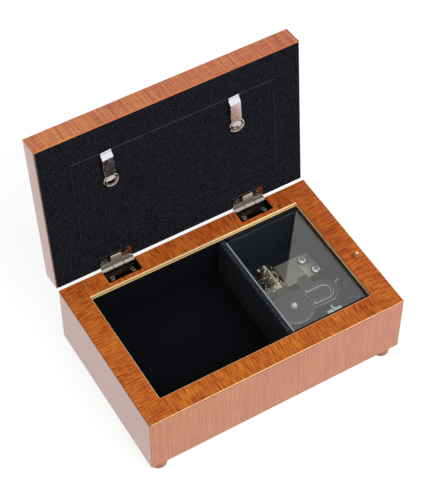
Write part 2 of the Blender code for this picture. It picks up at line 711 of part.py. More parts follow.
def leaf_outline(knuckle_share, screw_reach):
    """A hinge leaf's outline round its middle, with its two screw holes.

    knuckle_share is 1 where the outer knuckles belong to the leaf, and 0 for the middle one.
    """
    half = LEAF_WIDTH / 2
    third = (LEAF_WIDTH - 2 * KNUCKLE_GAP) / 3 / 2
    far = -LEAF_REACH
    clear = -KNUCKLE_RADIUS - FIT
    outline = arc((-half + LEAF_CORNER, far + LEAF_CORNER), LEAF_CORNER, 180, 270, 3)
    outline += arc((half - LEAF_CORNER, far + LEAF_CORNER), LEAF_CORNER, 270, 360, 3)
    if knuckle_share:
        room = third + 2 * KNUCKLE_GAP
        outline += [(half, 0.0), (room, 0.0), (room, clear)]
        outline += [(-room, clear), (-room, 0.0), (-half, 0.0)]
    else:
        outline += [(half, clear), (third, clear), (third, 0.0)]
        outline += [(-third, 0.0), (-third, clear), (-half, clear)]
    holes = [circle((side * SCREW_SPREAD, -screw_reach), SCREW_SHANK_RADIUS + PLAY, 16) for side in (-1, 1)]
    return [outline] + holes


def screw_profile(head_radius, shank_radius, length, dome):
    """A countersunk screw from its leaf's face at height 0."""
    cone = head_radius - shank_radius
    return [
        (0.0, dome),
        (head_radius * 0.6, dome * 0.8),
        (head_radius, 0.0),
        (shank_radius, -cone),
        (shank_radius, -length + shank_radius),
        (0.0, -length + FIT),
    ]


def make_hinge(side_name, side, lid_axis):
    """One hinge: a leaf on the back wall, a leaf on the lid, the pin and four screws."""
    name = "hinge_" + side_name
    x = side * HINGE_X
    knuckle = (LEAF_WIDTH - 2 * KNUCKLE_GAP) / 3
    step = knuckle + KNUCKLE_GAP
    lower = plate(
        name + "_lower_leaf",
        leaf_outline(1, SCREW_REACH),
        LEAF_THICKNESS,
        (x, PIVOT.y, LOWER_LEAF_TOP - LEAF_THICKNESS / 2),
        NICKEL,
    )
    upper = plate(
        name + "_upper_leaf",
        leaf_outline(0, SCREW_REACH),
        LEAF_THICKNESS,
        (x, PIVOT.y, UPPER_LEAF_UNDER + LEAF_THICKNESS / 2),
        NICKEL,
        holder=lid_axis,
    )
    for leaf, places, holder in ((lower, (-step, step), None), (upper, (0.0,), lid_axis)):
        for spot in places:
            start = (x + spot - knuckle / 2 + KNUCKLE_CHAMFER, PIVOT.y, PIVOT.z)
            length = knuckle - 2 * KNUCKLE_CHAMFER
            barrel_name = f"{leaf.name}_knuckle_{spot * 1000:.0f}"
            join(leaf, rod(barrel_name, KNUCKLE_RADIUS, start, length, "+X", tool=True, holder=holder))
        start = (x - LEAF_WIDTH, PIVOT.y, PIVOT.z)
        radius, length = HINGE_PIN_RADIUS + PLAY, 2 * LEAF_WIDTH
        cut(leaf, rod(leaf.name + "_bore", radius, start, length, "+X", tool=True, holder=holder))
    start = (x - LEAF_WIDTH / 2, PIVOT.y, PIVOT.z)
    rod(name + "_pin", HINGE_PIN_RADIUS, start, LEAF_WIDTH, "+X", STEEL, holder=lid_axis)

    sink_radius = SCREW_HEAD_RADIUS + PLAY
    sink_depth = sink_radius - SCREW_SHANK_RADIUS
    sink = [(0.0, FIT), (sink_radius + FIT, FIT), (SCREW_SHANK_RADIUS, -sink_depth), (0.0, -sink_depth)]
    screw = screw_profile(SCREW_HEAD_RADIUS, SCREW_SHANK_RADIUS, SCREW_LENGTH, FIT)
    for end, spread in (("a", -1), ("b", 1)):
        spot = x + spread * SCREW_SPREAD
        below = (spot, PIVOT.y - SCREW_REACH, LOWER_LEAF_TOP)
        above = (spot, PIVOT.y - SCREW_REACH, UPPER_LEAF_UNDER)
        cut(lower, turned(f"{name}_lower_sink_{end}", sink, below, "+Z", tool=True, steps=16))
        sunk = turned(f"{name}_upper_sink_{end}", sink, above, "-Z", tool=True, holder=lid_axis, steps=16)
        cut(upper, sunk)
        turned(f"{name}_lower_screw_{end}", screw, below, "+Z", NICKEL, steps=16)
        turned(f"{name}_upper_screw_{end}", screw, above, "-Z", NICKEL, holder=lid_axis, steps=16)


def make_clip(side_name, x, lid_axis):
    """A spring clip that swivels on a rivet and holds the backing panel down by its tip."""
    name = "clip_" + side_name
    at = (x, CLIP_Y, FELT_UNDER)
    rise = [
        (CLIP_BASE_RADIUS * 0.5, FIT),
        (CLIP_BASE_RADIUS, FIT),
        (CLIP_LENGTH * 0.34, CLIP_CREST * 0.4),
        (CLIP_LENGTH * 0.72, CLIP_CREST * 0.85),
        (CLIP_LENGTH * 0.78, CLIP_CREST),
        (CLIP_LENGTH * 0.84, CLIP_CREST * 0.95),
        (CLIP_LENGTH * 0.92, CLIP_CREST * 0.55),
        (CLIP_LENGTH, FIT),
    ]
    strip = rise + [(along, height + CLIP_THICKNESS) for along, height in reversed(rise)]
    along_y = Matrix(((0, 0, 1, 0), (-1, 0, 0, 0), (0, -1, 0, 0), (0, 0, 0, 1)))
    tilted = Matrix.Rotation(-CLIP_TILT, 4, "Z") @ along_y
    clip = plate(name, [strip], CLIP_WIDTH, at, NICKEL, holder=lid_axis, frame=tilted)
    base, base_top = CLIP_BASE_RADIUS, (at[0], at[1], at[2] - FIT - CLIP_THICKNESS)
    join(clip, rod(name + "_base", base, base_top, CLIP_THICKNESS, "+Z", tool=True, holder=lid_axis))
    hole, hole_start = RIVET_SHANK_RADIUS + FIT, (at[0], at[1], at[2] - base)
    cut(clip, rod(name + "_hole", hole, hole_start, base, "+Z", tool=True, holder=lid_axis))

    seat = FIT + CLIP_THICKNESS + FIT
    dome = RIVET_HEAD_HEIGHT
    rivet = [
        (0.0, seat + dome),
        (RIVET_HEAD_RADIUS * 0.5, seat + dome * 0.9),
        (RIVET_HEAD_RADIUS * 0.87, seat + dome * 0.55),
        (RIVET_HEAD_RADIUS, seat),
        (RIVET_SHANK_RADIUS, seat),
        (RIVET_SHANK_RADIUS, -2 * RIVET_SHANK_RADIUS),
        (0.0, -2 * RIVET_SHANK_RADIUS),
    ]
    turned(name + "_rivet", rivet, at, "-Z", NICKEL, holder=lid_axis)


def make_stop():
    """The pin that the lid presses, and the bent wire that it carries down beside the fan."""
    top = BOX_HEIGHT + STOP_TRAVEL
    radius = STOP_PIN_RADIUS
    dome = [(0.0, top), (radius * 0.6, top - radius * 0.2), (radius, top - radius)]
    foot = STOP_WIRE_Z - 2 * STOP_WIRE_RADIUS
    profile = dome + [(radius, foot), (0.0, foot)]
    turned("stop_pin", profile, (STOP_PIN_X, STOP_PIN_Y, 0), "+Z", STEEL, steps=16)

    start_x = -STOP_PIN_RADIUS - FIT
    knee = STOP_WIRE_KNEE - STOP_PIN_X
    run = knee - STOP_WIRE_STEP
    corner_y = GROOVE_SIDE + STOP_WIRE_RADIUS
    end_x = GOVERNOR_X + FAN_RADIUS + FIT - STOP_PIN_X
    end_y = FAN_Y - STOP_PIN_Y
    corner = 2 * STOP_WIRE_RADIUS
    path = [(start_x, 0.0)] + arc((knee, corner_y - STOP_WIRE_STEP), STOP_WIRE_STEP, 90, 180, 4)
    path += [(run, end_y + corner), (run - corner, end_y), (end_x, end_y)]
    points = [(x, y, 0.0) for x, y in path]
    wire("stop_wire", points, STOP_WIRE_RADIUS, (STOP_PIN_X, STOP_PIN_Y, STOP_WIRE_Z), STEEL)


def make_bedplate():
    """The cast bedplate with its bearings, the arbor's boss and the comb's seat."""
    edge = rounded_rectangle((BEDPLATE_LEFT, BEDPLATE_FRONT), (BEDPLATE_RIGHT, BEDPLATE_BACK), 0.003)
    arbor_hole = circle((DRUM_X, DRUM_Y), ARBOR_RADIUS + FIT)
    clear_radius = MOUNTING_SHANK_RADIUS + PLAY
    screw_holes = [circle(spot, clear_radius, 12) for spot in MOUNTING_SCREW_PLACES.values()]
    middle = (0, 0, (BEDPLATE_UNDER + BEDPLATE_TOP) / 2)
    bed = plate("bedplate", [edge, arbor_hole] + screw_holes, BEDPLATE_THICKNESS, middle, ZINC)

    sunk = BEDPLATE_TOP - FIT
    boss = ARBOR_RADIUS + FIT
    boss_outer, boss_top = 2.2 * boss, CROWN_UNDER_Z - FIT
    ring = [(boss, boss_top), (boss_outer, boss_top), (boss_outer, sunk), (boss, sunk)]
    join(bed, turned("arbor_boss", ring, DRUM, "+Z", tool=True, hollow=True))
    for name, y in (("near_bearing", NEAR_BEARING_Y), ("far_bearing", FAR_BEARING_Y)):
        low = (DRUM_X - 2 * ARBOR_RADIUS, y, sunk)
        high = (DRUM_X + 2 * ARBOR_RADIUS, y + BEARING_WALL, CYLINDER_AXIS_Z + 2 * ARBOR_RADIUS)
        join(bed, box(name, low, high, tool=True))
    seat_low = (COMB_ROOT_RIGHT - FIT, COMB_MIDDLE_Y - NOTES_WIDTH / 2, sunk)
    seat_high = (BEDPLATE_RIGHT - LINING, COMB_MIDDLE_Y + NOTES_WIDTH / 2, COMB_UNDER - FIT)
    join(bed, box("comb_seat", seat_low, seat_high, tool=True))
    spindle_start = (DRUM_X, NEAR_BEARING_Y - BEARING_WALL, CYLINDER_AXIS_Z)
    length = FAR_BEARING_Y - NEAR_BEARING_Y + 3 * BEARING_WALL
    cut(bed, rod("spindle_bore", SPINDLE_RADIUS + PLAY, spindle_start, length, "+Y", tool=True))
    for name, (x, y) in COMB_SCREW_PLACES.items():
        start = (x, y, BEDPLATE_TOP)
        cut(bed, rod(name + "_thread", clear_radius, start, COMB_TOP, "+Z", tool=True, sides=16))


def make_spring_and_drive():
    """The spring housing, the mainspring, the arbor and the crown wheel on it."""
    radius, sheet = HOUSING_RADIUS, HOUSING_SHEET
    corner = 2 * sheet
    foot = BEDPLATE_TOP + FIT
    hole = ARBOR_RADIUS + FIT
    shell = [(hole, HOUSING_TOP)] + arc((radius - corner, HOUSING_TOP - corner), corner, 90, 0, 3)
    shell += [(radius, foot), (radius - sheet, foot), (radius - sheet, HOUSING_TOP - corner)]
    shell += [(radius - corner, HOUSING_TOP - sheet), (hole, HOUSING_TOP - sheet)]
    housing = turned("spring_housing", shell, DRUM, "+Z", ZINC, steps=40, hollow=True)
    gear_room = CYLINDER_GEAR_RADIUS + ADDENDUM + FIT
    gap_low = (DRUM_X - gear_room, DRUM_Y + CROWN_INNER - LINING, 0)
    gap_high = (DRUM_X + gear_room, DRUM_Y + radius + FIT, CYLINDER_AXIS_Z + gear_room)
    cut(housing, box("cylinder_gear_window", gap_low, gap_high, tool=True))
    pinion_room = GOVERNOR_PINION_RADIUS + ADDENDUM + FIT
    gap_low = (DRUM_X + CROWN_INNER - LINING, DRUM_Y - pinion_room, 0)
    gap_high = (DRUM_X + radius + FIT, DRUM_Y + pinion_room, SHAFT_Z + pinion_room)
    cut(housing, box("pinion_window", gap_low, gap_high, tool=True))

    per_turn = 16
    count = SPRING_TURNS * per_turn
    spiral = []
    for i in range(count + 1):
        angle = 2 * math.pi * i / per_turn
        r = SPRING_INNER + (SPRING_OUTER - SPRING_STRIP - SPRING_INNER) * i / count
        spiral.append((r, angle))
    spiral += [(r + SPRING_STRIP, angle) for r, angle in reversed(spiral)]
    outline = [(r * math.cos(a), r * math.sin(a)) for r, a in spiral]
    middle = HOUSING_TOP - HOUSING_SHEET - FIT - SPRING_HEIGHT / 2
    plate("mainspring", [outline], SPRING_HEIGHT, (DRUM_X, DRUM_Y, middle), SPRING_STEEL)

    seat = HOUSING_TOP + FIT
    dome = ARBOR_HEAD_HEIGHT
    arbor = [
        (0.0, seat + dome),
        (ARBOR_HEAD_RADIUS * 0.7, seat + dome * 0.85),
        (ARBOR_HEAD_RADIUS, seat + dome * 0.4),
        (ARBOR_HEAD_RADIUS, seat),
        (ARBOR_RADIUS, seat),
        (ARBOR_RADIUS, GROUND / 2),
        (0.0, GROUND / 2),
    ]
    turned("arbor", arbor, DRUM, "+Z", STEEL)

    make_drive_wheel()


def make_drive_wheel():
    """A crown wheel: a disc whose outer ring carries teeth that point up."""
    segments = 2 * CROWN_TEETH
    step = 2 * math.pi / segments
    shape = bmesh.new()
    radii = (ARBOR_RADIUS + PLAY, CROWN_INNER, CROWN_OUTER)
    chain = [shape.verts.new((radius, 0.0, CROWN_ROOT_Z)) for radius in radii]
    edges = [shape.edges.new(pair) for pair in zip(chain, chain[1:])]
    turn = Matrix.Rotation(-step / 2, 3, "Z")
    bmesh.ops.rotate(shape, verts=chain, cent=(0, 0, 0), matrix=turn)
    bmesh.ops.spin(
        shape,
        geom=chain + edges,
        cent=(0, 0, 0),
        axis=(0, 0, 1),
        dvec=(0, 0, 0),
        angle=2 * math.pi,
        steps=segments,
        use_merge=True,
        use_normal_flip=False,
        use_duplicate=False,
    )
    bmesh.ops.recalc_face_normals(shape, faces=shape.faces)
    if shape.faces[:][0].normal.z < 0:
        bmesh.ops.reverse_faces(shape, faces=shape.faces)
    crest = []
    for face in shape.faces:
        centre = face.calc_center_median()
        number = round(math.atan2(centre.y, centre.x) / step)
        if centre.xy.length > CROWN_INNER and number % 2 == 0:
            crest.append((face, number * step))
    outer_ring = bmesh.ops.extrude_face_region(shape, geom=list(shape.faces))
    lowered = [item for item in outer_ring["geom"] if isinstance(item, bmesh.types.BMVert)]
    bmesh.ops.translate(shape, verts=lowered, vec=(0, 0, -CROWN_DISC))
    for face, angle in crest:
        tooth = bmesh.ops.extrude_discrete_faces(shape, faces=[face])["faces"][0]
        bmesh.ops.translate(shape, verts=tooth.verts, vec=(0, 0, CROWN_TIP_Z - CROWN_ROOT_Z))
        unturn = Matrix.Rotation(-angle, 4, "Z")
        bmesh.ops.scale(shape, verts=tooth.verts, vec=(1.0, 0.45, 1.0), space=unturn)
    bmesh.ops.recalc_face_normals(shape, faces=shape.faces)
    mesh = bpy.data.meshes.new("drive_wheel")
    shape.to_mesh(mesh)
    shape.free()
    obj = bpy.data.objects.new("drive_wheel", mesh)
    obj.location = DRUM
    place(obj, BRASS)


def pin_here(row, segment):
    """Whether the tune cylinder has a pin in this row and segment."""
    return (segment * 5 + row * 8 + (row * row) // 3) % 13 in (0, 6) and (segment + row) % 3 != 1


def make_cylinder():
    """The tune cylinder with its pins, its spindle and the gear that the crown wheel drives."""
    shape = bmesh.new()
    stations = [BARREL_START]
    first = COMB_MIDDLE_Y - NOTES_WIDTH / 2
    for row in range(NOTES):
        stations += [first + (row + 0.3) * NOTE_PITCH, first + (row + 0.7) * NOTE_PITCH]
    stations.append(BARREL_END)
    chain = [shape.verts.new((CYLINDER_RADIUS, y, 0.0)) for y in stations]
    edges = [shape.edges.new(pair) for pair in zip(chain, chain[1:])]
    step = 2 * math.pi / CYLINDER_SEGMENTS
    bmesh.ops.spin(
        shape,
        geom=chain + edges,
        cent=(0, 0, 0),
        axis=(0, 1, 0),
        dvec=(0, 0, 0),
        angle=2 * math.pi,
        steps=CYLINDER_SEGMENTS,
        use_merge=True,
        use_normal_flip=False,
        use_duplicate=False,
    )
    bmesh.ops.holes_fill(shape, edges=[edge for edge in shape.edges if edge.is_boundary], sides=0)
    bmesh.ops.recalc_face_normals(shape, faces=shape.faces)
    pins = []
    for face in shape.faces:
        centre = face.calc_center_median()
        row = (centre.y - first) / NOTE_PITCH - 0.5
        segment = int((math.atan2(centre.z, centre.x) % (2 * math.pi)) / step)
        if len(face.verts) == 4 and abs(row - round(row)) < 0.1 and pin_here(round(row), segment):
            pins.append(face)
    for face in pins:
        outward = face.normal.copy()
        top = bmesh.ops.extrude_discrete_faces(shape, faces=[face])["faces"][0]
        bmesh.ops.translate(shape, verts=top.verts, vec=outward * CYLINDER_PIN_HEIGHT)
        to_middle = Matrix.Translation(-top.calc_center_median())
        bmesh.ops.scale(shape, verts=top.verts, vec=(0.45, 0.9, 0.45), space=to_middle)
    mesh = bpy.data.meshes.new("cylinder")
    shape.to_mesh(mesh)
    shape.free()
    obj = bpy.data.objects.new("cylinder", mesh)
    obj.location = (DRUM_X, 0, CYLINDER_AXIS_Z)
    cylinder = place(obj, BRASS)
    gear_y = DRUM_Y + PINION_MIDDLE
    spindle_start = (DRUM_X, gear_y - PINION_FACE, CYLINDER_AXIS_Z)
    length = FAR_BEARING_Y + BEARING_WALL + FIT - (gear_y - PINION_FACE)
    join(cylinder, rod("spindle", SPINDLE_RADIUS, spindle_start, length, "+Y", tool=True, sides=16))
    half_tooth = math.pi / CYLINDER_GEAR_TEETH
    outline = gear_outline(CYLINDER_GEAR_TEETH, CYLINDER_GEAR_RADIUS, 0.58, 0.22, half_tooth)
    at = (DRUM_X, gear_y, CYLINDER_AXIS_Z)
    join(cylinder, plate("cylinder_gear", [outline], PINION_FACE, at, tool=True, frame=FACING_Y))


def make_comb():
    """The steel comb with one tooth for each note, and its two screws."""
    near = COMB_MIDDLE_Y - NOTES_WIDTH / 2
    far = COMB_MIDDLE_Y + NOTES_WIDTH / 2
    edge = [(COMB_TIP_X, near), (DRUM_X + COMB_BACK_NEAR, near)]
    edge += [(DRUM_X + COMB_BACK_FAR, far), (COMB_TIP_X, far)]
    holes = [circle(spot, MOUNTING_SHANK_RADIUS + FIT, 16) for spot in COMB_SCREW_PLACES.values()]
    comb = plate("comb", [edge] + holes, COMB_THICKNESS, (0, 0, COMB_UNDER + COMB_THICKNESS / 2), STEEL)
    slots = bmesh.new()
    for number in range(1, NOTES):
        y = near + number * NOTE_PITCH
        root = DRUM_X + COMB_ROOT_NEAR + (COMB_ROOT_FAR - COMB_ROOT_NEAR) * number / NOTES
        start = COMB_TIP_X - FIT
        size = Matrix.Diagonal((root - start, COMB_SLOT, 3 * COMB_THICKNESS, 1.0))
        middle = Matrix.Translation(((root + start) / 2, y, COMB_UNDER + COMB_THICKNESS / 2))
        bmesh.ops.create_cube(slots, size=1.0, matrix=middle @ size)
    mesh = bpy.data.meshes.new("comb_slots")
    slots.to_mesh(mesh)
    slots.free()
    cut(comb, place(bpy.data.objects.new("comb_slots", mesh), tool=True))

    radius, height, seat = COMB_SCREW_RADIUS, COMB_SCREW_HEIGHT, COMB_TOP + FIT
    profile = [(0.0, seat + height)]
    profile += [(radius * math.sin(a), seat + height * math.cos(a)) for a in (0.45, 0.85, 1.2)]
    profile += [(radius, seat), (MOUNTING_SHANK_RADIUS, seat), (MOUNTING_SHANK_RADIUS, BEDPLATE_TOP + FIT)]
    profile.append((0.0, BEDPLATE_TOP + FIT))
    for name, (x, y) in COMB_SCREW_PLACES.items():
        turned(name, profile, (x, y, 0), "+Z", NICKEL)


def make_governor():
    """The governor's bracket with its U shaped rib, the wheel on its shaft, and the worm with its fan."""
    x, y = GOVERNOR_X, DRUM_Y
    radius = GOVERNOR_PLATE_RADIUS
    left = DRUM_X + GOVERNOR_PLATE_FROM_DRUM
    lobe_left, lobe_right, lobe_far = left + 0.0014, x - 0.0021, 0.0026
    chamfer = 0.0010
    outline = [(left, y - radius)] + arc((x, y), radius, -90, 90, 10)
    outline += [(lobe_right, y + radius), (lobe_right, lobe_far - chamfer)]
    outline.append((lobe_right - chamfer, lobe_far))
    outline += [(lobe_left + chamfer, lobe_far), (lobe_left, lobe_far - chamfer), (lobe_left, y + radius)]
    outline.append((left, y + radius))
    middle = (0, 0, GOVERNOR_PLATE_UNDER + GOVERNOR_PLATE / 2)
    bracket = plate("governor_bracket", [outline], GOVERNOR_PLATE, middle, ZINC)

    inner = GOVERNOR_RIB_RADIUS - GOVERNOR_RIB_WIDTH / 2
    outer = GOVERNOR_RIB_RADIUS + GOVERNOR_RIB_WIDTH / 2
    rib_left = left + GOVERNOR_RIB_WIDTH
    rib = [(rib_left, y - outer)] + arc((x, y), outer, -90, 90, 8) + [(rib_left, y + outer)]
    rib += [(rib_left, y + inner)] + arc((x, y), inner, 90, -90, 8) + [(rib_left, y - inner)]
    rib_height = GOVERNOR_RIB_HEIGHT + FIT
    rib_at = (0, 0, GOVERNOR_PLATE_TOP - FIT + rib_height / 2)
    join(bracket, plate("governor_rib", [rib], rib_height, rib_at, tool=True))

    foot = BEDPLATE_TOP + FIT
    top = GOVERNOR_PLATE_UNDER + FIT
    leg = GOVERNOR_LEG
    half = WORM_WHEEL_RADIUS
    side_legs = {"leg_inner": HOUSING_RADIUS + DRUM_X + 2 * leg, "leg_outer": x + radius - 2 * leg}
    for name, low_x in side_legs.items():
        join(bracket, box(name, (low_x, y - half, foot), (low_x + leg, y + half, top), tool=True))
    for name, low_y in (("leg_front", y - radius), ("leg_back", y + radius - leg)):
        join(bracket, box(name, (x - half, low_y, foot), (x + half, low_y + leg, top), tool=True))
    shaft_start = DRUM_X + CROWN_INNER - FIT
    shaft_end = side_legs["leg_outer"] + leg + FIT
    bore_radius = GOVERNOR_SHAFT_RADIUS + PLAY
    cut(bracket, rod("shaft_bore", bore_radius, (shaft_start, y, SHAFT_Z), shaft_end, "+X", tool=True))
    worm_bore_start = (x, y - 2 * radius, WORM_Z)
    cut(bracket, rod("worm_bore", WORM_SHAFT_RADIUS + PLAY, worm_bore_start, 4 * radius, "+Y", tool=True))

    length = shaft_end - shaft_start
    start = (shaft_start, y, SHAFT_Z)
    shaft = rod("governor_wheel", GOVERNOR_SHAFT_RADIUS, start, length, "+X", BRASS, sides=16)
    pinion_at = (DRUM_X + PINION_MIDDLE, y, SHAFT_Z)
    quarter = math.pi / 2
    pinion_phase = -quarter + math.pi / GOVERNOR_PINION_TEETH
    outline = gear_outline(GOVERNOR_PINION_TEETH, GOVERNOR_PINION_RADIUS, 0.58, 0.22, pinion_phase)
    join(shaft, plate("governor_pinion", [outline], PINION_FACE, pinion_at, tool=True, frame=FACING_X))
    outline = gear_outline(WORM_WHEEL_TEETH, WORM_WHEEL_RADIUS, 0.36, 0.20, quarter)
    wheel = plate("worm_wheel", [outline], WORM_WHEEL_WIDTH, (x, y, SHAFT_Z), tool=True, frame=FACING_X)
    lead = WORM_STARTS * 2 * math.pi * WORM_WHEEL_RADIUS / WORM_WHEEL_TEETH
    slant = lead / (2 * math.pi * WORM_RADIUS) / WORM_WHEEL_RADIUS
    for vert in wheel.data.vertices:
        vert.co = Matrix.Rotation(vert.co.x * slant, 3, "X") @ vert.co
    join(shaft, wheel)
    make_worm(lead)


def make_worm(lead):
    """The two start worm on its shaft, with the two bladed fan at its front end."""
    x, y = GOVERNOR_X, DRUM_Y
    start = (x, FAN_Y - FAN_BREADTH / 2 - FIT, WORM_Z)
    end = y + GOVERNOR_PLATE_RADIUS + FIT
    shaft = rod("governor_worm", WORM_SHAFT_RADIUS, start, end - start[1], "+Y", NYLON, sides=16)
    core_start = (x, y - WORM_LENGTH / 2 - FIT, WORM_Z)
    join(shaft, rod("worm_core", WORM_CORE, core_start, WORM_LENGTH + 2 * FIT, "+Y", tool=True, sides=16))
    pitch = lead / WORM_STARTS
    turns = (WORM_LENGTH - pitch) / lead
    per_turn = 12
    steps = round(turns * per_turn)
    turns = steps / per_turn
    root, crest = WORM_CORE * 0.85, WORM_RADIUS + ADDENDUM * 0.8
    root_half, crest_half = pitch * 0.22, pitch * 0.10
    section = [(root, -root_half), (crest, -crest_half), (crest, crest_half), (root, root_half)]
    for number in range(WORM_STARTS):
        thread = bmesh.new()
        first = [thread.verts.new((0.0, along - turns * lead / 2, -radius)) for radius, along in section]
        face = thread.faces.new(first)
        bmesh.ops.spin(
            thread,
            geom=[face] + list(face.edges) + first,
            cent=(0, 0, 0),
            axis=(0, 1, 0),
            dvec=(0, lead / per_turn, 0),
            angle=2 * math.pi * turns,
            steps=steps,
            use_merge=False,
            use_normal_flip=False,
            use_duplicate=False,
        )
        phase = (number + 0.5) / WORM_STARTS + turns / 2
        turn = Matrix.Rotation(-2 * math.pi * phase, 3, "Y")
        bmesh.ops.rotate(thread, verts=thread.verts, cent=(0, 0, 0), matrix=turn)
        bmesh.ops.recalc_face_normals(thread, faces=thread.faces)
        mesh = bpy.data.meshes.new(f"worm_thread_{number}")
        thread.to_mesh(mesh)
        thread.free()
        obj = bpy.data.objects.new(mesh.name, mesh)
        obj.location = (x, y, WORM_Z)
        join(shaft, place(obj, tool=True))
    hub_start = (x, FAN_Y - FAN_BREADTH / 2, WORM_Z)
    join(shaft, rod("fan_hub", 2 * WORM_SHAFT_RADIUS, hub_start, FAN_BREADTH, "+Y", tool=True, sides=16))
    blade_low = (x - FAN_RADIUS * 0.98, FAN_Y - FAN_BREADTH / 2 + FIT, WORM_Z - FAN_SHEET / 2)
    blade_high = (x + FAN_RADIUS * 0.98, FAN_Y + FAN_BREADTH / 2 - FIT, WORM_Z + FAN_SHEET / 2)
    join(shaft, box("fan_blade", blade_low, blade_high, tool=True))


def make_key_and_mounting_screws():
    """The low winding key under the bottom panel, and the screws that hold the movement down."""
    low = GROUND + KEY_CLEARANCE
    high = BOTTOM_THICKNESS / 2
    rounding = (high - low) * 0.3
    wings = rounded_rectangle((-KEY_SPAN / 2, low), (KEY_SPAN / 2, high), rounding)
    upright = Matrix(((1, 0, 0, 0), (0, 0, -1, 0), (0, 1, 0, 0), (0, 0, 0, 1)))
    key = plate("winding_key", [wings], KEY_SHEET, DRUM, NICKEL, frame=upright)
    hub_start = (DRUM_X, DRUM_Y, low + FIT)
    hub_top = BOTTOM_THICKNESS - FIT
    join(key, rod("key_hub", KEY_HUB_RADIUS, hub_start, hub_top - hub_start[2], "+Z", tool=True))
    bore_start = (DRUM_X, DRUM_Y, GROUND / 2 - FIT)
    cut(key, rod("key_bore", ARBOR_RADIUS + PLAY, bore_start, BOX_HEIGHT / 2, "+Z", tool=True))

    shank, head = MOUNTING_SHANK_RADIUS, MOUNTING_SCREW_RADIUS
    seat = MOUNTING_SCREW_HEAD + FIT
    profile = [(0.0, BEDPLATE_TOP - FIT), (shank, BEDPLATE_TOP - 2 * FIT), (shank, seat), (head, seat)]
    profile += [(head, seat - MOUNTING_SCREW_HEAD / 2), (head * 0.7, FIT), (0.0, FIT)]
    for name, (x, y) in MOUNTING_SCREW_PLACES.items():
        turned(name, profile, (x, y, 0), "+Z", NICKEL, steps=16)


def make_music_box():
    """Every piece of the box, with the lid hung open on its axis."""
    lid_axis = bpy.data.objects.new("lid_axis", None)
    lid_axis.location = PIVOT
    lid_axis.rotation_euler.x = -LID_OPEN
    CUTTERS.objects.link(lid_axis)
    make_carcass()
    make_linings()
    make_lid(lid_axis)
    for side_name, x in CLIP_PLACES.items():
        make_hinge(side_name, math.copysign(1, x), lid_axis)
        make_clip(side_name, x, lid_axis)
    make_stop()
    make_bedplate()
    make_spring_and_drive()
    make_cylinder()
    make_comb()
    make_governor()
    make_key_and_mounting_screws()
    bpy.context.view_layer.update()


make_music_box()
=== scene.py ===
"""Looks of a wooden musical jewellery box that stands open on a white sweep.

Every piece is modelled in metres in the frame of the CAD model. Lid pieces are modelled with the
lid shut and then turned open about the hinge line.
"""

import math

import bmesh
import bpy
from mathutils import Euler, Matrix, Vector


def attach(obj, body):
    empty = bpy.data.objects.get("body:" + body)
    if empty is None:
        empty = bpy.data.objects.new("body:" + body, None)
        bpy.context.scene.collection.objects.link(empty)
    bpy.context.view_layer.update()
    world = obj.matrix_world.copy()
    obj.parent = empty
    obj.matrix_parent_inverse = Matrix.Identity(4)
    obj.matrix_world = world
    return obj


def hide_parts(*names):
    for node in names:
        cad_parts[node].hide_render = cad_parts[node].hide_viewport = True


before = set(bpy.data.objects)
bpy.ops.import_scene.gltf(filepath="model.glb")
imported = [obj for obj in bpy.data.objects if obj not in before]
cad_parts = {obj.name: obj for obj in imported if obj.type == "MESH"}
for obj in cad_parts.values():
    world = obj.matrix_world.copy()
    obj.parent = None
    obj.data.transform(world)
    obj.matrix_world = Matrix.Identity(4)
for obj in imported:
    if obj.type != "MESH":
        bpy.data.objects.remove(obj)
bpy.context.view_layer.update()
bpy.context.scene.view_settings.view_transform = "Standard"

MM = 0.001

# Camera: read from the photograph's vanishing lines
CAMERA_PLACE = Vector((-0.30457, -0.49535, 0.81162))
CAMERA_TURN = Euler((math.radians(90 - 51.29), 0.0, math.radians(-30.63)))
CAMERA_LENS = 119.02
CAMERA_SENSOR = 36.0
CAMERA_SHIFT = (-0.0018, -0.0025)

# Studio: how bright the floor and the surroundings look, and how much they light the box
FLOOR_HALF = 3.0
FLOOR_GLOW = 0.86
FLOOR_BOUNCE = "808080"
SKY_LIGHT = 0.45
KEY_DIRECTION = Vector((0.15, -0.60, 0.78))
KEY_DISTANCE = 1.3
KEY_SIZE = 0.9
KEY_POWER = 13.0
WHITE = (1, 1, 1, 1)

# Lid: the joint's pivot, how far it stands open, and the bodies that turn with it
PIVOT = Vector((0.0, 0.0546, 0.0414))
LID_OPEN = math.radians(95.4)
LID_TURN = Matrix.Rotation(-LID_OPEN, 4, "X")
OPENED = Matrix.Translation(PIVOT) @ LID_TURN @ Matrix.Translation(-PIVOT)
LID_BODIES = ("lid", "clip_left", "clip_right")

# Box, as in the CAD model
HALF_X = 85 * MM
HALF_Y = 54.6 * MM
WALL = 10.2 * MM
INNER_X = HALF_X - WALL
INNER_Y = HALF_Y - WALL
WALL_UNDER = -1.3 * MM
GROUND = -7 * MM
RIM_UNDER = 39.2 * MM
RIM_TOP = 42.4 * MM
HOLE_X = 70.9 * MM
HOLE_FRONT = -41.2 * MM
HOLE_BACK = 40.9 * MM
HINGE_X = 45.5 * MM
NOTCH_WIDTH = 22.3 * MM
NOTCH_FRONT = 44.1 * MM
FLOOR_TOP = 3.5 * MM
LINING = 1.5 * MM
LINING_GAP = 0.1 * MM
DIVIDER_LEFT = 17 * MM
DIVIDER_RIGHT = 21.2 * MM
PANE_LEFT = 19.3 * MM
PANE_RIGHT = 70.6 * MM
PANE_HALF = 38 * MM
PANE_UNDER = 36.6 * MM
PANE_TOP = 38.6 * MM
FOOT_RADIUS = 5.2 * MM
FOOT_Y = 49.4 * MM
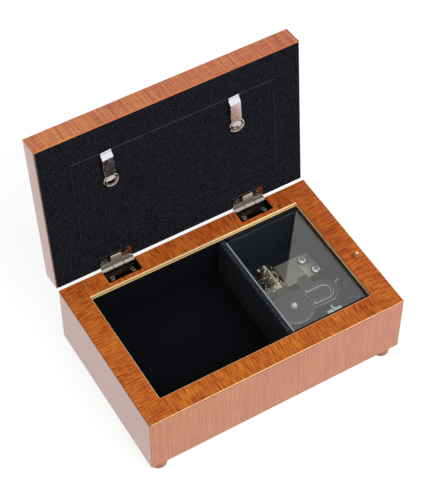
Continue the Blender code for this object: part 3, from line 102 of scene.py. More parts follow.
FEET = {
    "foot_front_left": (-77.9 * MM, -FOOT_Y),
    "foot_front_right": (75.8 * MM, -FOOT_Y),
    "foot_back_left": (-77.3 * MM, FOOT_Y),
    "foot_back_right": (77.3 * MM, FOOT_Y),
}
PIN_X = 78.6 * MM
PIN_Y = -13.7 * MM
PIN_HOLE_RADIUS = 1.15 * MM
PIN_HOLE_DEPTH = 6 * MM
# Opposite corners of the stop wire's groove in the right wall
GROOVE_LOW = (74.5 * MM, -16.7 * MM, 15.6 * MM)
GROOVE_HIGH = (81.6 * MM, -7.7 * MM, 42.4 * MM)
SIDES = {
    "front": (0, -1, 0),
    "right": (1, 0, 0),
    "back": (0, 1, 0),
    "left": (-1, 0, 0),
}

# Tolerances: merging points, lying on a plane, and the play of fitted pieces
TOUCHING = 0.001 * MM
SLACK = 0.01 * MM
SEAT = 0.3 * MM

# Edges of the box
CORNER_ROUNDING = 0.8 * MM
EDGE_ROUNDING = 0.9 * MM
INNER_ROUNDING = 0.3 * MM
VENEER_LAP = 0.8 * MM
SEAM_ROUNDING = 0.25 * MM
TRAY_ROUNDING = 0.6 * MM
DIVIDER_ROUNDING = 0.8 * MM
PANE_ROUNDING = 0.15 * MM
PANE_CHAMFER = 0.45 * MM
PANE_GLINT = 0.9 * MM
FOOT_SHOULDER = 0.5 * MM
FOOT_TREAD = 1.4 * MM
# Edges that fold by more than this, in radians, are sharp
SHARP = 0.5

# Lid, shut
LID_UNDER = 43.6 * MM
LID_TOP = 57.6 * MM
LIP_UNDER = 50 * MM
RAIL_WIDTH = 19.1 * MM
LIP_WIDTH = 5 * MM
LIP_SLOPE = 3.6 * MM
LIP_SLOPE_DEPTH = 1.5 * MM
RAIL_ROUNDING = 1.2 * MM
FELT_FACE = 42.7 * MM
FELT_INSET = 1.3 * MM
SEAM = 0.2 * MM
WINDOW_X = HALF_X - RAIL_WIDTH + SEAM
WINDOW_Y = HALF_Y - RAIL_WIDTH + SEAM
PANEL_THICKNESS = 3.9 * MM

# Hinges
LEAF_WIDTH = 21.3 * MM
LEAF_REACH = 10 * MM
LEAF_THICKNESS = 1 * MM
LEAF_CORNER = 1.4 * MM
LEAF_BORDER = 0.8 * MM
LEAF_EDGE = 0.3 * MM
LEAF_PRESS = 0.18 * MM
FIELD_X = 3.4 * MM
FIELD_Y = 1.7 * MM
FIELD_ROUNDING = 0.3 * MM
KNUCKLE_RADIUS = 2.1 * MM
KNUCKLE_GAP = 0.2 * MM
KNUCKLE_EDGE = 0.2 * MM
SCREW_REACH = 6.3 * MM
SCREW_SPREAD = 7 * MM
SINK_RADIUS = 1.85 * MM
SINK_FOOT = 0.72 * MM
SINK_DEPTH = 1.1 * MM
HEAD_DROP = 0.3 * MM
# Screws in millimetres: head radius, dome, depth of the seat, shank radius, length, recess arm
LEAF_SCREW = (1.6, 0.3, 0.9, 0.7, 6, 1)
COMB_SCREW = (3.3, 1.4, 0.0, 1.2, 9, 1.9)

# Clips: sections are (radius, height) or (length, height) in millimetres above the felt
CLIP_X = {"left": -42.3 * MM, "right": 40.3 * MM}
CLIP_Y = -13.4 * MM
CLIP_TILT = math.radians(4)
CLIP_WIDTH = 7.2 * MM
CLIP_SHEET = 0.6 * MM
CLIP_EDGE = 0.25 * MM
CLIP_STRIP = [(4.2, 0.7), (5.4, 0.75), (6.0, 1.0), (18.4, 2.3)]
CLIP_STRIP += [(19.1, 2.35), (21.4, 0.9), (22.0, 0.75), (23.6, 1.5)]
CLIP_RING = [(1.7, 0.3), (4.8, 0.3), (5.0, 0.5), (5.0, 0.95), (4.7, 1.25)]
CLIP_RING += [(4.2, 1.25), (3.8, 0.75), (1.7, 0.7), (1.7, 0.3)]
CLIP_DISH_RADIUS = 3.7 * MM
RIVET = [(0.0, 1.6), (1.2, 1.5), (2.3, 1.25), (3.0, 0.95)]
RIVET += [(3.3, 0.75), (1.3, 0.7), (1.3, -2.5), (0.0, -2.5)]
RIVET_HOLE_RADIUS = 1.6 * MM

# Stop pin, and the end of its wire that is painted white beside the cover as a highlight
PIN_RADIUS = 0.95 * MM
PIN_TOP = 47.4 * MM
PIN_FOOT = 22.5 * MM
PIN_ROUNDING = 0.4 * MM
WIRE_BRIGHT_X = 70 * MM
WIRE_BRIGHT_Y = -11.7 * MM

# Movement
DRUM_X = 35.8 * MM
BARREL_Z = 15.6 * MM
BARREL_RADIUS = 6.2 * MM
BARREL_FRONT = 2.4 * MM
BARREL_BACK = 22 * MM
PIN_BASE = 0.02 * MM
COMB_TOP = 17.7 * MM
COMB_UNDER = 16.2 * MM
COMB_THICKNESS = 1.2 * MM
COMB_TIP = 43 * MM
COMB_ROOT = 57 * MM
COMB_BACK_FRONT = 68.3 * MM
COMB_BACK_REAR = 66.8 * MM
COMB_MIDDLE_Y = 12.2 * MM
COMB_SLOT = 0.42 * MM
COMB_ROUNDING = 0.25 * MM
NOTES = 18
NOTE_PITCH = 0.94 * MM
COMB_SCREW_PLACES = {
    "comb_screw_back": (60.6 * MM, 16.2 * MM),
    "comb_screw_front": (64.2 * MM, 6.2 * MM),
}
# Reach of the painted highlight on top of the comb screws' heads
HEAD_BRIGHT_RADIUS = 2.75 * MM
HEAD_BRIGHT_HEIGHT = 0.8 * MM
# Castings: width of their edges painted lighter as highlights, and the height above which these are
# painted so
COVER_EDGE = 0.3 * MM
BRACKET_EDGE = 0.35 * MM
COVER_LIT_ABOVE = 22 * MM
BEDPLATE_LIT_ABOVE = 6.9 * MM


def linear(hex_colour):
    """An sRGB hex colour as linear RGBA."""
    values = [int(hex_colour[i : i + 2], 16) / 255 for i in (0, 2, 4)]
    light = [v / 12.92 if v <= 0.04045 else ((v + 0.055) / 1.055) ** 2.4 for v in values]
    return (*light, 1.0)


def plug(tree, node, inputs):
    """Sets a node's sockets to values, or links them to other nodes' outputs."""
    for key, value in inputs.items():
        if isinstance(value, bpy.types.NodeSocket):
            tree.links.new(value, node.inputs[key])
        else:
            node.inputs[key].default_value = value


def add(tree, kind, inputs=None, stops=None, **settings):
    """Adds a node with settings, socket values or links and ramp stops, and gives its outputs."""
    made = tree.nodes.new("ShaderNode" + kind)
    for key, value in settings.items():
        setattr(made, key, value)
    plug(tree, made, inputs or {})
    if stops:
        elements = made.color_ramp.elements
        for _ in stops[2:]:
            elements.new(0.5)
        for element, (position, hex_colour) in zip(elements, stops):
            element.position = position
            element.color = linear(hex_colour)
    return made.outputs


def blank(name):
    """A new node material with its tree, its shader and its Object coordinates."""
    material = bpy.data.materials.new(name)
    material.use_nodes = True
    tree = material.node_tree
    place = add(tree, "TexCoord")["Object"]
    return material, tree, tree.nodes["Principled BSDF"], place


# Part of its range that a noise nearly always stays in
NOISE_SPAN = {"From Min": 0.3, "From Max": 0.7}


def veneer(
    name, grain, tones, cross=None, tilt=0.0, shine=0.5, gloss=0.0, coat=1.6, ripple=0.2, cloud=0.12
):
    """Figured hardwood veneer under lacquer: fine streaks along the grain, with a ripple across it.

    grain and cross are a streak's and a ripple's size along X, Y and Z. tones are the dark, middle
    and light colours. tilt turns the pattern with the lid. shine is the wood's specular level,
    gloss the lacquer's weight and coat its IOR. ripple is the ripple's share of the figure, and
    cloud how much the value changes between bands.
    """
    material, tree, shader, place = blank(name)
    marks = []
    for size in (grain, cross or grain):
        spot = {"Vector": place, "Location": PIVOT, "Rotation": (-tilt, 0.0, 0.0), "Scale": size}
        along = add(tree, "Mapping", spot, vector_type="TEXTURE")[0]
        noise = {"Vector": along, "Scale": 1.0, "Detail": 3.0, "Roughness": 0.65}
        marks.append(add(tree, "TexNoise", noise)[0])
    crossed = add(tree, "Math", {0: marks[1], 1: ripple}, operation="MULTIPLY")[0]
    mixed = {0: marks[0], 1: 1 - ripple, 2: crossed}
    figure = add(tree, "Math", mixed, operation="MULTIPLY_ADD")[0]
    stops = [(0.38, tones[0]), (0.48, tones[1]), (0.6, tones[2])]
    lines = add(tree, "ValToRGB", {"Fac": figure}, stops)[0]
    # Clouds of colour 14 mm across, as between one band of the figure and the next
    clouds = add(tree, "TexNoise", {"Vector": place, "Scale": 1 / (14 * MM), "Detail": 2.0})[0]
    # Darker towards the back and the right
    towards = {0: place, 1: (-1, -1, 0)}
    depth = add(tree, "VectorMath", towards, operation="DOT_PRODUCT")["Value"]
    stained = add(tree, "Math", {0: depth, 1: clouds}, operation="ADD")[0]
    band = {"Value": stained, **NOISE_SPAN}
    tone = add(tree, "MapRange", {**band, "To Min": 1 - cloud, "To Max": 1 + 0.8 * cloud})[0]
    hue = add(tree, "MapRange", {**band, "To Min": 0.494, "To Max": 0.503})[0]
    shade = add(tree, "HueSaturation", {"Color": lines, "Hue": hue, "Value": tone})[0]
    bump = add(tree, "Bump", {"Height": figure, "Strength": 0.15, "Distance": 0.05 * MM})[0]
    wood = {"Base Color": shade, "Normal": bump, "Roughness": 0.45, "Specular IOR Level": shine}
    lacquer = {"Coat Weight": gloss, "Coat Roughness": 0.12, "Coat IOR": coat}
    plug(tree, shader, {**wood, **lacquer})
    return material


def raw_edge(name):
    """Sawn edge of the rim's three ply boards: pale outer plies with a dark middle one."""
    material, tree, shader, place = blank(name)
    height = add(tree, "SeparateXYZ", {"Vector": place})["Z"]
    span = {"Value": height, "From Min": RIM_UNDER, "From Max": RIM_TOP}
    stops = [(0.0, "ffd890"), (0.34, "ffd488"), (0.42, "904808")]
    stops += [(0.55, "904808"), (0.62, "ffe8b0"), (1.0, "ffe4a8")]
    share = add(tree, "MapRange", span)[0]
    plies = add(tree, "ValToRGB", {"Fac": share}, stops)[0]
    # Saw marks 0.9 mm apart along the edge
    marks = add(tree, "TexNoise", {"Vector": place, "Scale": 1 / (0.9 * MM), "Detail": 2.0})[0]
    tone = add(tree, "MapRange", {"Value": marks, **NOISE_SPAN, "To Min": 0.9, "To Max": 1.05})[0]
    shade = add(tree, "HueSaturation", {"Color": plies, "Value": tone})[0]
    plug(tree, shader, {"Base Color": shade, "Roughness": 0.6, "Specular IOR Level": 0.2})
    return material


def flock(name, dark, light, fibre=0.5 * MM):
    """Flocked paper: short black fibres that scatter light, with paler specks between them."""
    material, tree, shader, place = blank(name)
    noise = {"Vector": place, "Scale": 1 / fibre, "Detail": 4.0, "Roughness": 0.7}
    fine = add(tree, "TexNoise", noise)[0]
    tone = add(tree, "ValToRGB", {"Fac": fine}, [(0.42, dark), (0.62, light)])[0]
    bump = add(tree, "Bump", {"Height": fine, "Strength": 0.6, "Distance": 0.25 * MM})[0]
    look = {"Base Color": tone, "Normal": bump, "Roughness": 0.95, "Specular IOR Level": 0.1}
    plug(tree, shader, look)
    return material


def cube(size):
    """A grain of one size in millimetres along X, Y and Z."""
    return (size * MM, size * MM, size * MM)


def grained(name, grain, depth):
    """A blank material and the noise of its fine grain, which also roughens its surface."""
    material, tree, shader, place = blank(name)
    spot = add(tree, "Mapping", {"Vector": place, "Scale": grain}, vector_type="TEXTURE")[0]
    marks = add(tree, "TexNoise", {"Vector": spot, "Scale": 1.0, "Detail": 3.0})[0]
    bump = add(tree, "Bump", {"Height": marks, "Strength": 0.3, "Distance": depth})[0]
    plug(tree, shader, {"Normal": bump})
    return material, tree, shader, {"Value": marks, **NOISE_SPAN}


def metal(name, colour, roughness, spread=0.08, grain=cube(0.6), depth=0.01 * MM):
    """Bare or plated metal: its colour, and a roughness that varies with how it was finished."""
    material, tree, shader, marks = grained(name, grain, depth)
    span = {"To Min": roughness - spread, "To Max": roughness + spread}
    rough = add(tree, "MapRange", {**marks, **span})[0]
    plug(tree, shader, {"Base Color": linear(colour), "Metallic": 1.0, "Roughness": rough})
    return material


def board_stock(name, colour, roughness, grain=cube(1)):
    """Painted, stained or coated board, card or moulded sheet with a faint grain of its own."""
    material, tree, shader, marks = grained(name, grain, 0.05 * MM)
    tone = add(tree, "MapRange", {**marks, "To Min": 0.85, "To Max": 1.15})[0]
    shade = add(tree, "HueSaturation", {"Color": linear(colour), "Value": tone})[0]
    plug(tree, shader, {"Base Color": shade, "Roughness": roughness})
    return material


def clear_sheet(name, tint):
    """Clear cast acrylic sheet: polished, with a trace of tint and of haze.

    Its IOR is above acrylic's 1.49, to mirror the room as strongly as the pane in the photograph.
    """
    material, tree, shader, place = blank(name)
    haze = add(tree, "TexNoise", {"Vector": place, "Scale": 1 / (8 * MM)})[0]
    rough = add(tree, "MapRange", {"Value": haze, "To Min": 0.0, "To Max": 0.03})[0]
    look = {"Base Color": linear(tint), "Transmission Weight": 1.0, "IOR": 1.62, "Roughness": rough}
    plug(tree, shader, look)
    return material


# Veneer colours: dark streak, body, light streak
RIM_TONES = ("7a3008", "b6581c", "ce7a34")
LID_TONES = ("883c10", "bc6228", "d68646")
SIDE_TONES = ("b85810", "c86414", "d6721e")
QUIET_TONES = ("ca6618", "d26c1c", "d87222")
# Real pores are finer than the render shows, so streaks and ripples are as coarse as a pixel
STREAK = 0.45 * MM
STREAK_LENGTH = 8 * MM
LONG_STREAK = 30 * MM
RIPPLE = 0.7 * MM
RIPPLE_LENGTH = 12 * MM
ALONG_X = (STREAK_LENGTH, STREAK, STREAK)
ALONG_Y = (STREAK, STREAK_LENGTH, STREAK)
ALONG_Z = (STREAK, STREAK, LONG_STREAK)
RIPPLE_Y = (RIPPLE, RIPPLE_LENGTH, RIPPLE)
RIPPLE_X = (RIPPLE_LENGTH, RIPPLE, RIPPLE)

# Satin varnished veneer on the rim: little shines, so its streaks and ripples stay clear
RIM_CROSS_X = veneer("satin_veneer_grain_x", ALONG_X, RIM_TONES, RIPPLE_Y, shine=0.12)
RIM_CROSS_Y = veneer("satin_veneer_grain_y", ALONG_Y, RIM_TONES, RIPPLE_X, shine=0.12)
# Veneer under thick lacquer on the walls: the white room in it makes the wood pale and pinkish
SIDE = veneer("lacquered_veneer_upright", ALONG_Z, SIDE_TONES, gloss=1.0, cloud=0.04)
QUIET_SIDE = veneer("lacquered_veneer_quiet", ALONG_Z, QUIET_TONES, gloss=1.0, cloud=0.04)
# Lid's front under a thin coat that shows the figure, its other sides under a thick one
LID_COAT = {"tilt": LID_OPEN, "gloss": 0.35, "ripple": 0.4, "cloud": 0.06}
LID_FRONT = veneer("lacquered_veneer_lid_front", ALONG_Z, LID_TONES, RIPPLE_X, **LID_COAT)
SIDE_COAT = {"tilt": LID_OPEN, "gloss": 1.0, "coat": 2.0, "cloud": 0.04}
LID_SIDE = veneer("lacquered_veneer_lid", ALONG_Z, QUIET_TONES, **SIDE_COAT)
# Satin varnished veneer on the lid's top, as on the rim
TOP_COAT = {"tilt": LID_OPEN, "shine": 0.12}
LID_FACE_X = veneer("satin_lid_grain_x", ALONG_X, RIM_TONES, RIPPLE_Y, **TOP_COAT)
LID_FACE_Y = veneer("satin_lid_grain_y", ALONG_Y, RIM_TONES, RIPPLE_X, **TOP_COAT)
# Board edges: sanded pale and painted lighter as a highlight, with a dark line and painted shade
# beside that; dark brown underneath as painted shade; black where painted out of sight, and as
# painted shade in gaps and holes
EASED_EDGE = board_stock("eased_veneer_edge", "ffd6a0", 0.3, cube(2))
DARK_EDGE = board_stock("dark_line_and_painted_shade_at_edge", "7a3814", 0.3, cube(2))
UNDER_EDGE = board_stock("bottom_edge_painted_shade", "4a2410", 0.7)
BLACK_EDGE = board_stock("black_paint_and_painted_shade", "0a0a0c", 0.6)
# Black lacquer round the lid's underside: shinier than the felt beside it
BLACK_LACQUER = board_stock("black_lacquer", "0c0c0e", 0.25)
# Sawn edge of the acrylic pane: frosted, and pale as a painted glint along the top of its left side
CLEAR_EDGE = board_stock("sawn_acrylic_edge", "b4c0c6", 0.5)
# Sawn plywood: light and dark lines along the hole's back edge
RAW_EDGE = raw_edge("sawn_ply_edge")
# Black flock: deep and even on the floor, specked on the divider and lid, paler at the seam edges
# as a painted highlight
FELT = flock("black_flock", "050609", "16171c")
# The divider's flock is paler than the floor's, partly as painted light on its face
DIVIDER_FELT = flock("black_flock_divider", "0c0d12", "484a52", fibre=0.9 * MM)
LID_FELT = flock("black_flock_board", "040509", "282a32", fibre=0.9 * MM)
SEAM_FELT = flock("flock_edge_painted_highlight", "1c1d23", "54555c")
MOVEMENT_FELT = flock("black_flock_movement", "14161c", "22252d", fibre=0.3 * MM)
# Plated steel of the hinge pins and the key: a soft mirror
NICKEL = metal("nickel_plate", "dcd6ce", 0.3, depth=0.004 * MM)
# Plated spring strip, rolled smooth: broad bright and dark bands
SPRING_ROLL = {"spread": 0.04, "grain": cube(5), "depth": 0.001 * MM}
CLIP_NICKEL = metal("nickel_plated_spring", "e8eaf0", 0.26, **SPRING_ROLL)
# Tumbled rivets and rolled knuckles: almost a mirror, so they show the felt and the white room
RIVET_NICKEL = metal("polished_rivet", "c0bab2", 0.1, spread=0.04, depth=0.001 * MM)
BARREL_NICKEL = metal("nickel_plated_knuckle", "b4aca2", 0.08, spread=0.03, depth=0.001 * MM)
# Stamped hinge leaves: bright on the lid, dark in the notch as a painted reflection of the black
# felt, satin on the pressed field
LEAF_NICKEL = metal("nickel_plated_leaf", "a4988c", 0.14, spread=0.05, depth=0.002 * MM)
DARK_NICKEL = metal("nickel_painted_shade_and_reflection", "302c2a", 0.12, spread=0.05, depth=0.002 * MM)
SATIN_NICKEL = metal("satin_nickel_field", "f4ebe0", 0.5)
# Painted shade: dark rings round the heads in the screw sinks, in the clips' dishes and at one end
# of the leaves' edges
SINK_SHADE = metal("painted_shade_in_recess", "3c3530", 0.3)
# Hinge screws are greyer than the large ones of the comb, whose tops are painted near white as a
# highlight of the lamp
SCREW_NICKEL = metal("nickel_screw", "9c948c", 0.25)
BRIGHT_SCREW = metal("screw_top_painted_highlight", "fffefa", 0.7, depth=0.001 * MM)
# Steel: satin stop pin, blasted arbor end, screws and comb ground with marks along X
SATIN_STEEL = metal("satin_steel", "f4e6d2", 0.45, spread=0.05)
MATTE_STEEL = metal("blasted_steel", "f4f2ee", 0.85)
GROUND_X = (6 * MM, 0.2 * MM, 0.2 * MM)
STEEL = metal("ground_steel", "b4b0a8", 0.35, grain=GROUND_X)
COMB_STEEL = metal("ground_comb_steel", "d4cab8", 0.4, grain=GROUND_X)
# Blued steel of the mainspring: dark blue grey
SPRING_STEEL = metal("blued_spring_steel", "4a5060", 0.4)
# Cast zinc: dull grey; its upper edges painted lighter as highlights, brightest on the cover's rib
ZINC = metal("cast_zinc", "4e4a46", 0.5)
ZINC_EDGE = metal("zinc_edge_painted_highlight", "86827c", 0.5)
BRIGHT_EDGE = metal("bright_zinc_painted_highlight", "fcf8f0", 0.75)
DARK_ZINC = metal("dark_cast_zinc", "4a4846", 0.6)
# Turned brass of the wheels: yellow with a soft shine
BRASS = metal("turned_brass", "c8a868", 0.3)
# Barrel ground along its turning marks; pin tips filed flat and painted near white as highlights,
# so they show as bright dots
PALE_BARREL = metal("ground_barrel", "dccca8", 0.26, grain=(6 * MM, 0.2 * MM, 6 * MM))
BRIGHT_PIN = metal("pin_tip_painted_highlight", "fffcf4", 0.8)
# Moulded nylon of the air brake: milky and pale blue
NYLON = board_stock("milky_nylon", "b4c8d0", 0.4)
# Turned and stained feet, grain upright
FOOT_WOOD = board_stock("stained_foot_wood", "b87850", 0.4, (0.6 * MM, 0.6 * MM, 4 * MM))
# Hardboard base: dark brown and dull
BOTTOM_BOARD = board_stock("hardboard_bottom", "3a2a20", 0.8)
# Uncoated card in the lid's window: off white and dull
CARD = board_stock("blank_card", "efe9dc", 0.8, cube(0.4))
# Cast acrylic of the pane and the lid's window: clear, with white reflections
CLEAR = clear_sheet("clear_acrylic", "f2f7f6")

# CAD nodes that stay, with their finish
KEPT_NODES = {
    "bottom_panel": BOTTOM_BOARD,
    "movement_lining": MOVEMENT_FELT,
    "lid_glazing": CLEAR,
    "insert_card": CARD,
    "hinge_left_pin": NICKEL,
    "hinge_right_pin": NICKEL,
    "mainspring": SPRING_STEEL,
    "arbor": MATTE_STEEL,
    "drive_wheel": BRASS,
    "governor_wheel": BRASS,
    "governor_worm": NYLON,
    "winding_key": NICKEL,
    "mounting_screw_back": STEEL,
    "mounting_screw_front": STEEL,
}


def dress_nodes():
    """Gives each CAD node that stays its finish."""
    for name, finish in KEPT_NODES.items():
        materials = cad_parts[name].data.materials
        materials.clear()
        materials.append(finish)


def make_camera():
    """The camera at the photograph's place, angle and framing."""
    data = bpy.data.cameras.new("camera")
    data.lens = CAMERA_LENS
    data.sensor_width = CAMERA_SENSOR
    data.shift_x, data.shift_y = CAMERA_SHIFT
    data.clip_start = 0.01
    data.clip_end = 20.0
    camera = bpy.data.objects.new("camera", data)
    camera.matrix_world = Matrix.Translation(CAMERA_PLACE) @ CAMERA_TURN.to_matrix().to_4x4()
    bpy.context.scene.collection.objects.link(camera)
    bpy.context.scene.camera = camera


def seen_rays(tree):
    """1 for what the camera sees, mirrored or through the pane too, and 0 for what gives light."""
    paths = add(tree, "LightPath")
    seen = paths["Is Camera Ray"]
    for kind in ("Is Glossy Ray", "Is Transmission Ray"):
        seen = add(tree, "Math", {0: seen, 1: paths[kind]}, operation="MAXIMUM")[0]
    return seen


def make_floor():
    """A white sweep that glows for the camera, but gives the box no more light than grey paper."""
    shape = bmesh.new()
    level = at(0.0, 0.0, GROUND)
    bmesh.ops.create_grid(shape, x_segments=1, y_segments=1, size=FLOOR_HALF, matrix=level)
    floor = put(shape, "floor")
    material = bpy.data.materials.new("white_sweep")
    material.use_nodes = True
    tree = material.node_tree
    tree.nodes.remove(tree.nodes["Principled BSDF"])
    paper = add(tree, "BsdfDiffuse", {"Color": linear(FLOOR_BOUNCE)})[0]
    glow = add(tree, "Emission", {"Color": WHITE, "Strength": FLOOR_GLOW})[0]
    lit = add(tree, "AddShader", {0: paper, 1: glow})[0]
    mixed = add(tree, "MixShader", {"Fac": seen_rays(tree), 1: paper, 2: lit})[0]
    # The sweep doesn't hide the box from a camera under it
    under = add(tree, "NewGeometry")["Backfacing"]
    open_below = add(tree, "BsdfTransparent")[0]
    sided = add(tree, "MixShader", {"Fac": under, 1: mixed, 2: open_below})[0]
    plug(tree, tree.nodes["Material Output"], {"Surface": sided})
    floor.data.materials.append(material)


def make_studio():
    """The sweep, an even white sky and one large soft lamp above the front."""
    make_floor()
    world = bpy.data.worlds.new("white_room")
    bpy.context.scene.world = world
    world.use_nodes = True
    tree = world.node_tree
    light = {"Value": seen_rays(tree), "To Min": SKY_LIGHT, "To Max": 1.0}
    strength = add(tree, "MapRange", light)[0]
    plug(tree, tree.nodes["Background"], {"Strength": strength, "Color": WHITE})

    lamp = bpy.data.lights.new("soft_lamp", "AREA")
    lamp.shape = "SQUARE"
    lamp.size = KEY_SIZE
    lamp.energy = KEY_POWER
    key = bpy.data.objects.new("soft_lamp", lamp)
    # The lamp lights the box without a hot spot in the lacquer
    key.visible_glossy = False
    towards = KEY_DIRECTION.normalized()
    aim = towards.to_track_quat("Z", "Y").to_matrix().to_4x4()
    key.matrix_world = Matrix.Translation(towards * KEY_DISTANCE) @ aim
    bpy.context.scene.collection.objects.link(key)


def put(shape, name):
    """A mesh object from a bmesh, which is freed."""
    mesh = bpy.data.meshes.new(name)
    shape.to_mesh(mesh)
    shape.free()
    piece = bpy.data.objects.new(name, mesh)
    bpy.context.scene.collection.objects.link(piece)
    return piece


def face_outwards(shape):
    """Turns the normals of a shape's faces outwards."""
    bmesh.ops.recalc_face_normals(shape, faces=shape.faces)


def finish_piece(node, shape, finishes, body, smooth=35):
    """Turns a bmesh into a piece that takes a CAD node's place and rides on a body."""
    if body in LID_BODIES:
        bmesh.ops.transform(shape, matrix=OPENED, verts=shape.verts)
    face_outwards(shape)
    piece = put(shape, node + "_dressed")
    piece.data.shade_smooth()
    piece.data.set_sharp_from_angle(angle=math.radians(smooth))
    piece.modifiers.new("flat_faces", "WEIGHTED_NORMAL").keep_sharp = True
    for finish in finishes:
        piece.data.materials.append(finish)
    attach(piece, body)
    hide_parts(node)
    return piece


def carve(shape, *cutters):
    """Subtracts closed shapes from a closed shape."""
    target = put(shape, "target")
    tools = [put(cutter, "cutter") for cutter in cutters]
    for tool in tools:
        modifier = target.modifiers.new("carve", "BOOLEAN")
        modifier.operation = "DIFFERENCE"
        modifier.solver = "EXACT"
        modifier.object = tool
    carved = bmesh.new()
    carved.from_object(target, bpy.context.evaluated_depsgraph_get())
    for used in [target] + tools:
        bpy.data.objects.remove(used, do_unlink=True)
    return carved


def divide(shape, place, normal, clear=False):
    """Cuts a shape along a plane, and drops what lies beyond it where asked."""
    whole = shape.verts[:] + shape.edges[:] + shape.faces[:]
    cut = {"dist": TOUCHING, "plane_co": place, "plane_no": normal, "clear_outer": clear}
    bmesh.ops.bisect_plane(shape, geom=whole, **cut)
    if clear:
        rims = [edge for edge in shape.edges if edge.is_boundary]
        bmesh.ops.holes_fill(shape, edges=rims, sides=0)


def sheet(low, high, z, lines_x=(), lines_y=(), opened=None):
    """A flat sheet divided along lines, without the fields that are opened."""
    shape = bmesh.new()
    bmesh.ops.create_grid(shape, x_segments=1, y_segments=1, size=0.5)
    bmesh.ops.scale(shape, verts=shape.verts, vec=(high[0] - low[0], high[1] - low[1], 1.0))
    middle = ((low[0] + high[0]) / 2, (low[1] + high[1]) / 2, z)
    bmesh.ops.translate(shape, verts=shape.verts, vec=middle)
    for x in lines_x:
        divide(shape, (x, 0, 0), (1, 0, 0))
    for y in lines_y:
        divide(shape, (0, y, 0), (0, 1, 0))
    if opened:
        inside = [face for face in shape.faces if opened(face.calc_center_median())]
        bmesh.ops.delete(shape, geom=inside, context="FACES")
    return shape


def lift(shape, height, chosen=None):
    """Extrudes a sheet, or the chosen fields of a block's top, by a height."""
    face_outwards(shape)
    faces = shape.faces[:]
    if chosen:
        tops = [face for face in faces if face.normal.z > 0.5]
        faces = [face for face in tops if chosen(face.calc_center_median())]
    grown = bmesh.ops.extrude_face_region(shape, geom=faces)["geom"]
    raised = [item for item in grown if isinstance(item, bmesh.types.BMVert)]
    bmesh.ops.translate(shape, verts=raised, vec=(0, 0, height))
    if chosen:
        covered = [face for face in faces if face.is_valid]
        bmesh.ops.delete(shape, geom=covered, context="FACES")
    face_outwards(shape)
    return shape


def flatten(shape):
    """Joins the fields of each flat face."""
    fields = {"verts": shape.verts, "edges": shape.edges}
    bmesh.ops.dissolve_limit(shape, angle_limit=0.01, delimit={"NORMAL"}, **fields)
    return shape


def sharp_edges(shape):
    """The edges between two faces that fold sharply."""
    joined = [edge for edge in shape.edges if len(edge.link_faces) == 2]
    return [edge for edge in joined if edge.calc_face_angle() > SHARP]


def bevel(shape, edges, width, segments):
    """Rounds edges, and gives the faces that this makes."""
    size = {"offset": width, "segments": segments, "profile": 0.5, "clamp_overlap": True}
    return bmesh.ops.bevel(shape, geom=edges, affect="EDGES", material=-1, **size)["faces"]


def ease(shape, width, segments, chosen=lambda place: True):
    """Rounds the sharp edges whose middles are chosen."""
    edges = [e for e in sharp_edges(shape) if chosen((e.verts[0].co + e.verts[1].co) / 2)]
    bevel(shape, edges, width, segments)
    face_outwards(shape)
    return shape


def dress(shape, choose):
    """Gives each face the finish that its middle and normal choose."""
    for face in shape.faces:
        face.material_index = choose(face.calc_center_median(), face.normal)
    return shape


def spun(points, steps, closed=False):
    """A line or loop of points, spun once round the vertical axis."""
    shape = bmesh.new()
    line = [shape.verts.new(point) for point in points]
    pairs = zip(line, line[1:] + line[:1] if closed else line[1:])
    edges = [shape.edges.new(pair) for pair in pairs]
    whole = {"axis": (0, 0, 1), "angle": 2 * math.pi, "steps": steps, "use_merge": True}
    bmesh.ops.spin(shape, geom=line + edges, **whole)
    return shape


def frame_ring(profile):
    """A closed frame round the box, with a section of (inset, height) points."""
    corner = [(HALF_Y - inset, HALF_Y - inset, height) for inset, height in profile]
    shape = spun(corner, 4, closed=True)
    for vert in shape.verts:
        vert.co.x += math.copysign(HALF_X - HALF_Y, vert.co.x)
    face_outwards(shape)
    return shape


def turned(profile, place=Matrix(), steps=32):
    """A turned solid from (radius, height) points between two points on its axis."""
    shape = spun([(radius, 0.0, height) for radius, height in profile], steps)
    bmesh.ops.remove_doubles(shape, verts=shape.verts, dist=TOUCHING)
    bmesh.ops.transform(shape, matrix=place, verts=shape.verts)
    face_outwards(shape)
    return shape


def at(x, y, z, upright=1):
    """A place for a turned shape, upside down where upright is -1."""
    return Matrix.Translation((x, y, z)) @ Matrix.Diagonal((1.0, 1.0, upright, 1.0))


def rod_shape(radius, x, y, z, length, sides):
    """A closed upright round bar for cutting."""
    shape = bmesh.new()
    size = {"radius1": radius, "radius2": radius, "depth": length, "segments": sides}
    bmesh.ops.create_cone(shape, cap_ends=True, matrix=at(x, y, z + length / 2), **size)
    return shape


def arc(centre, radius, start, end, steps):
    """Points on an arc, angles in degrees."""
    angles = [math.radians(start + (end - start) * step / steps) for step in range(steps + 1)]
    return [(centre[0] + radius * math.cos(a), centre[1] + radius * math.sin(a)) for a in angles]


def in_mm(points):
    """A section given in millimetres, in metres."""
    return [(first * MM, second * MM) for first, second in points]


def merge(*shapes):
    """Puts shapes together in the first one."""
    for other in shapes[1:]:
        mesh = bpy.data.meshes.new("merged")
        other.to_mesh(mesh)
        other.free()
        shapes[0].from_mesh(mesh)
        bpy.data.meshes.remove(mesh)
    return shapes[0]


def mitred(shape, side):
    """Keeps one side of a frame, cut at 45 degrees through its corners."""
    outward = Vector(SIDES[side])
    for turn in (-1, 1):
        across = Vector((-outward.y * turn, outward.x * turn, 0.0))
        out = outward + across
        divide(shape, (HALF_X * out.x, HALF_Y * out.y, 0.0), across - outward, clear=True)
    return shape


def at_outer_corner(place):
    """Whether a point lies on one of the box's four outer upright corners."""
    return abs(place.x) > HALF_X - SLACK and abs(place.y) > HALF_Y - SLACK


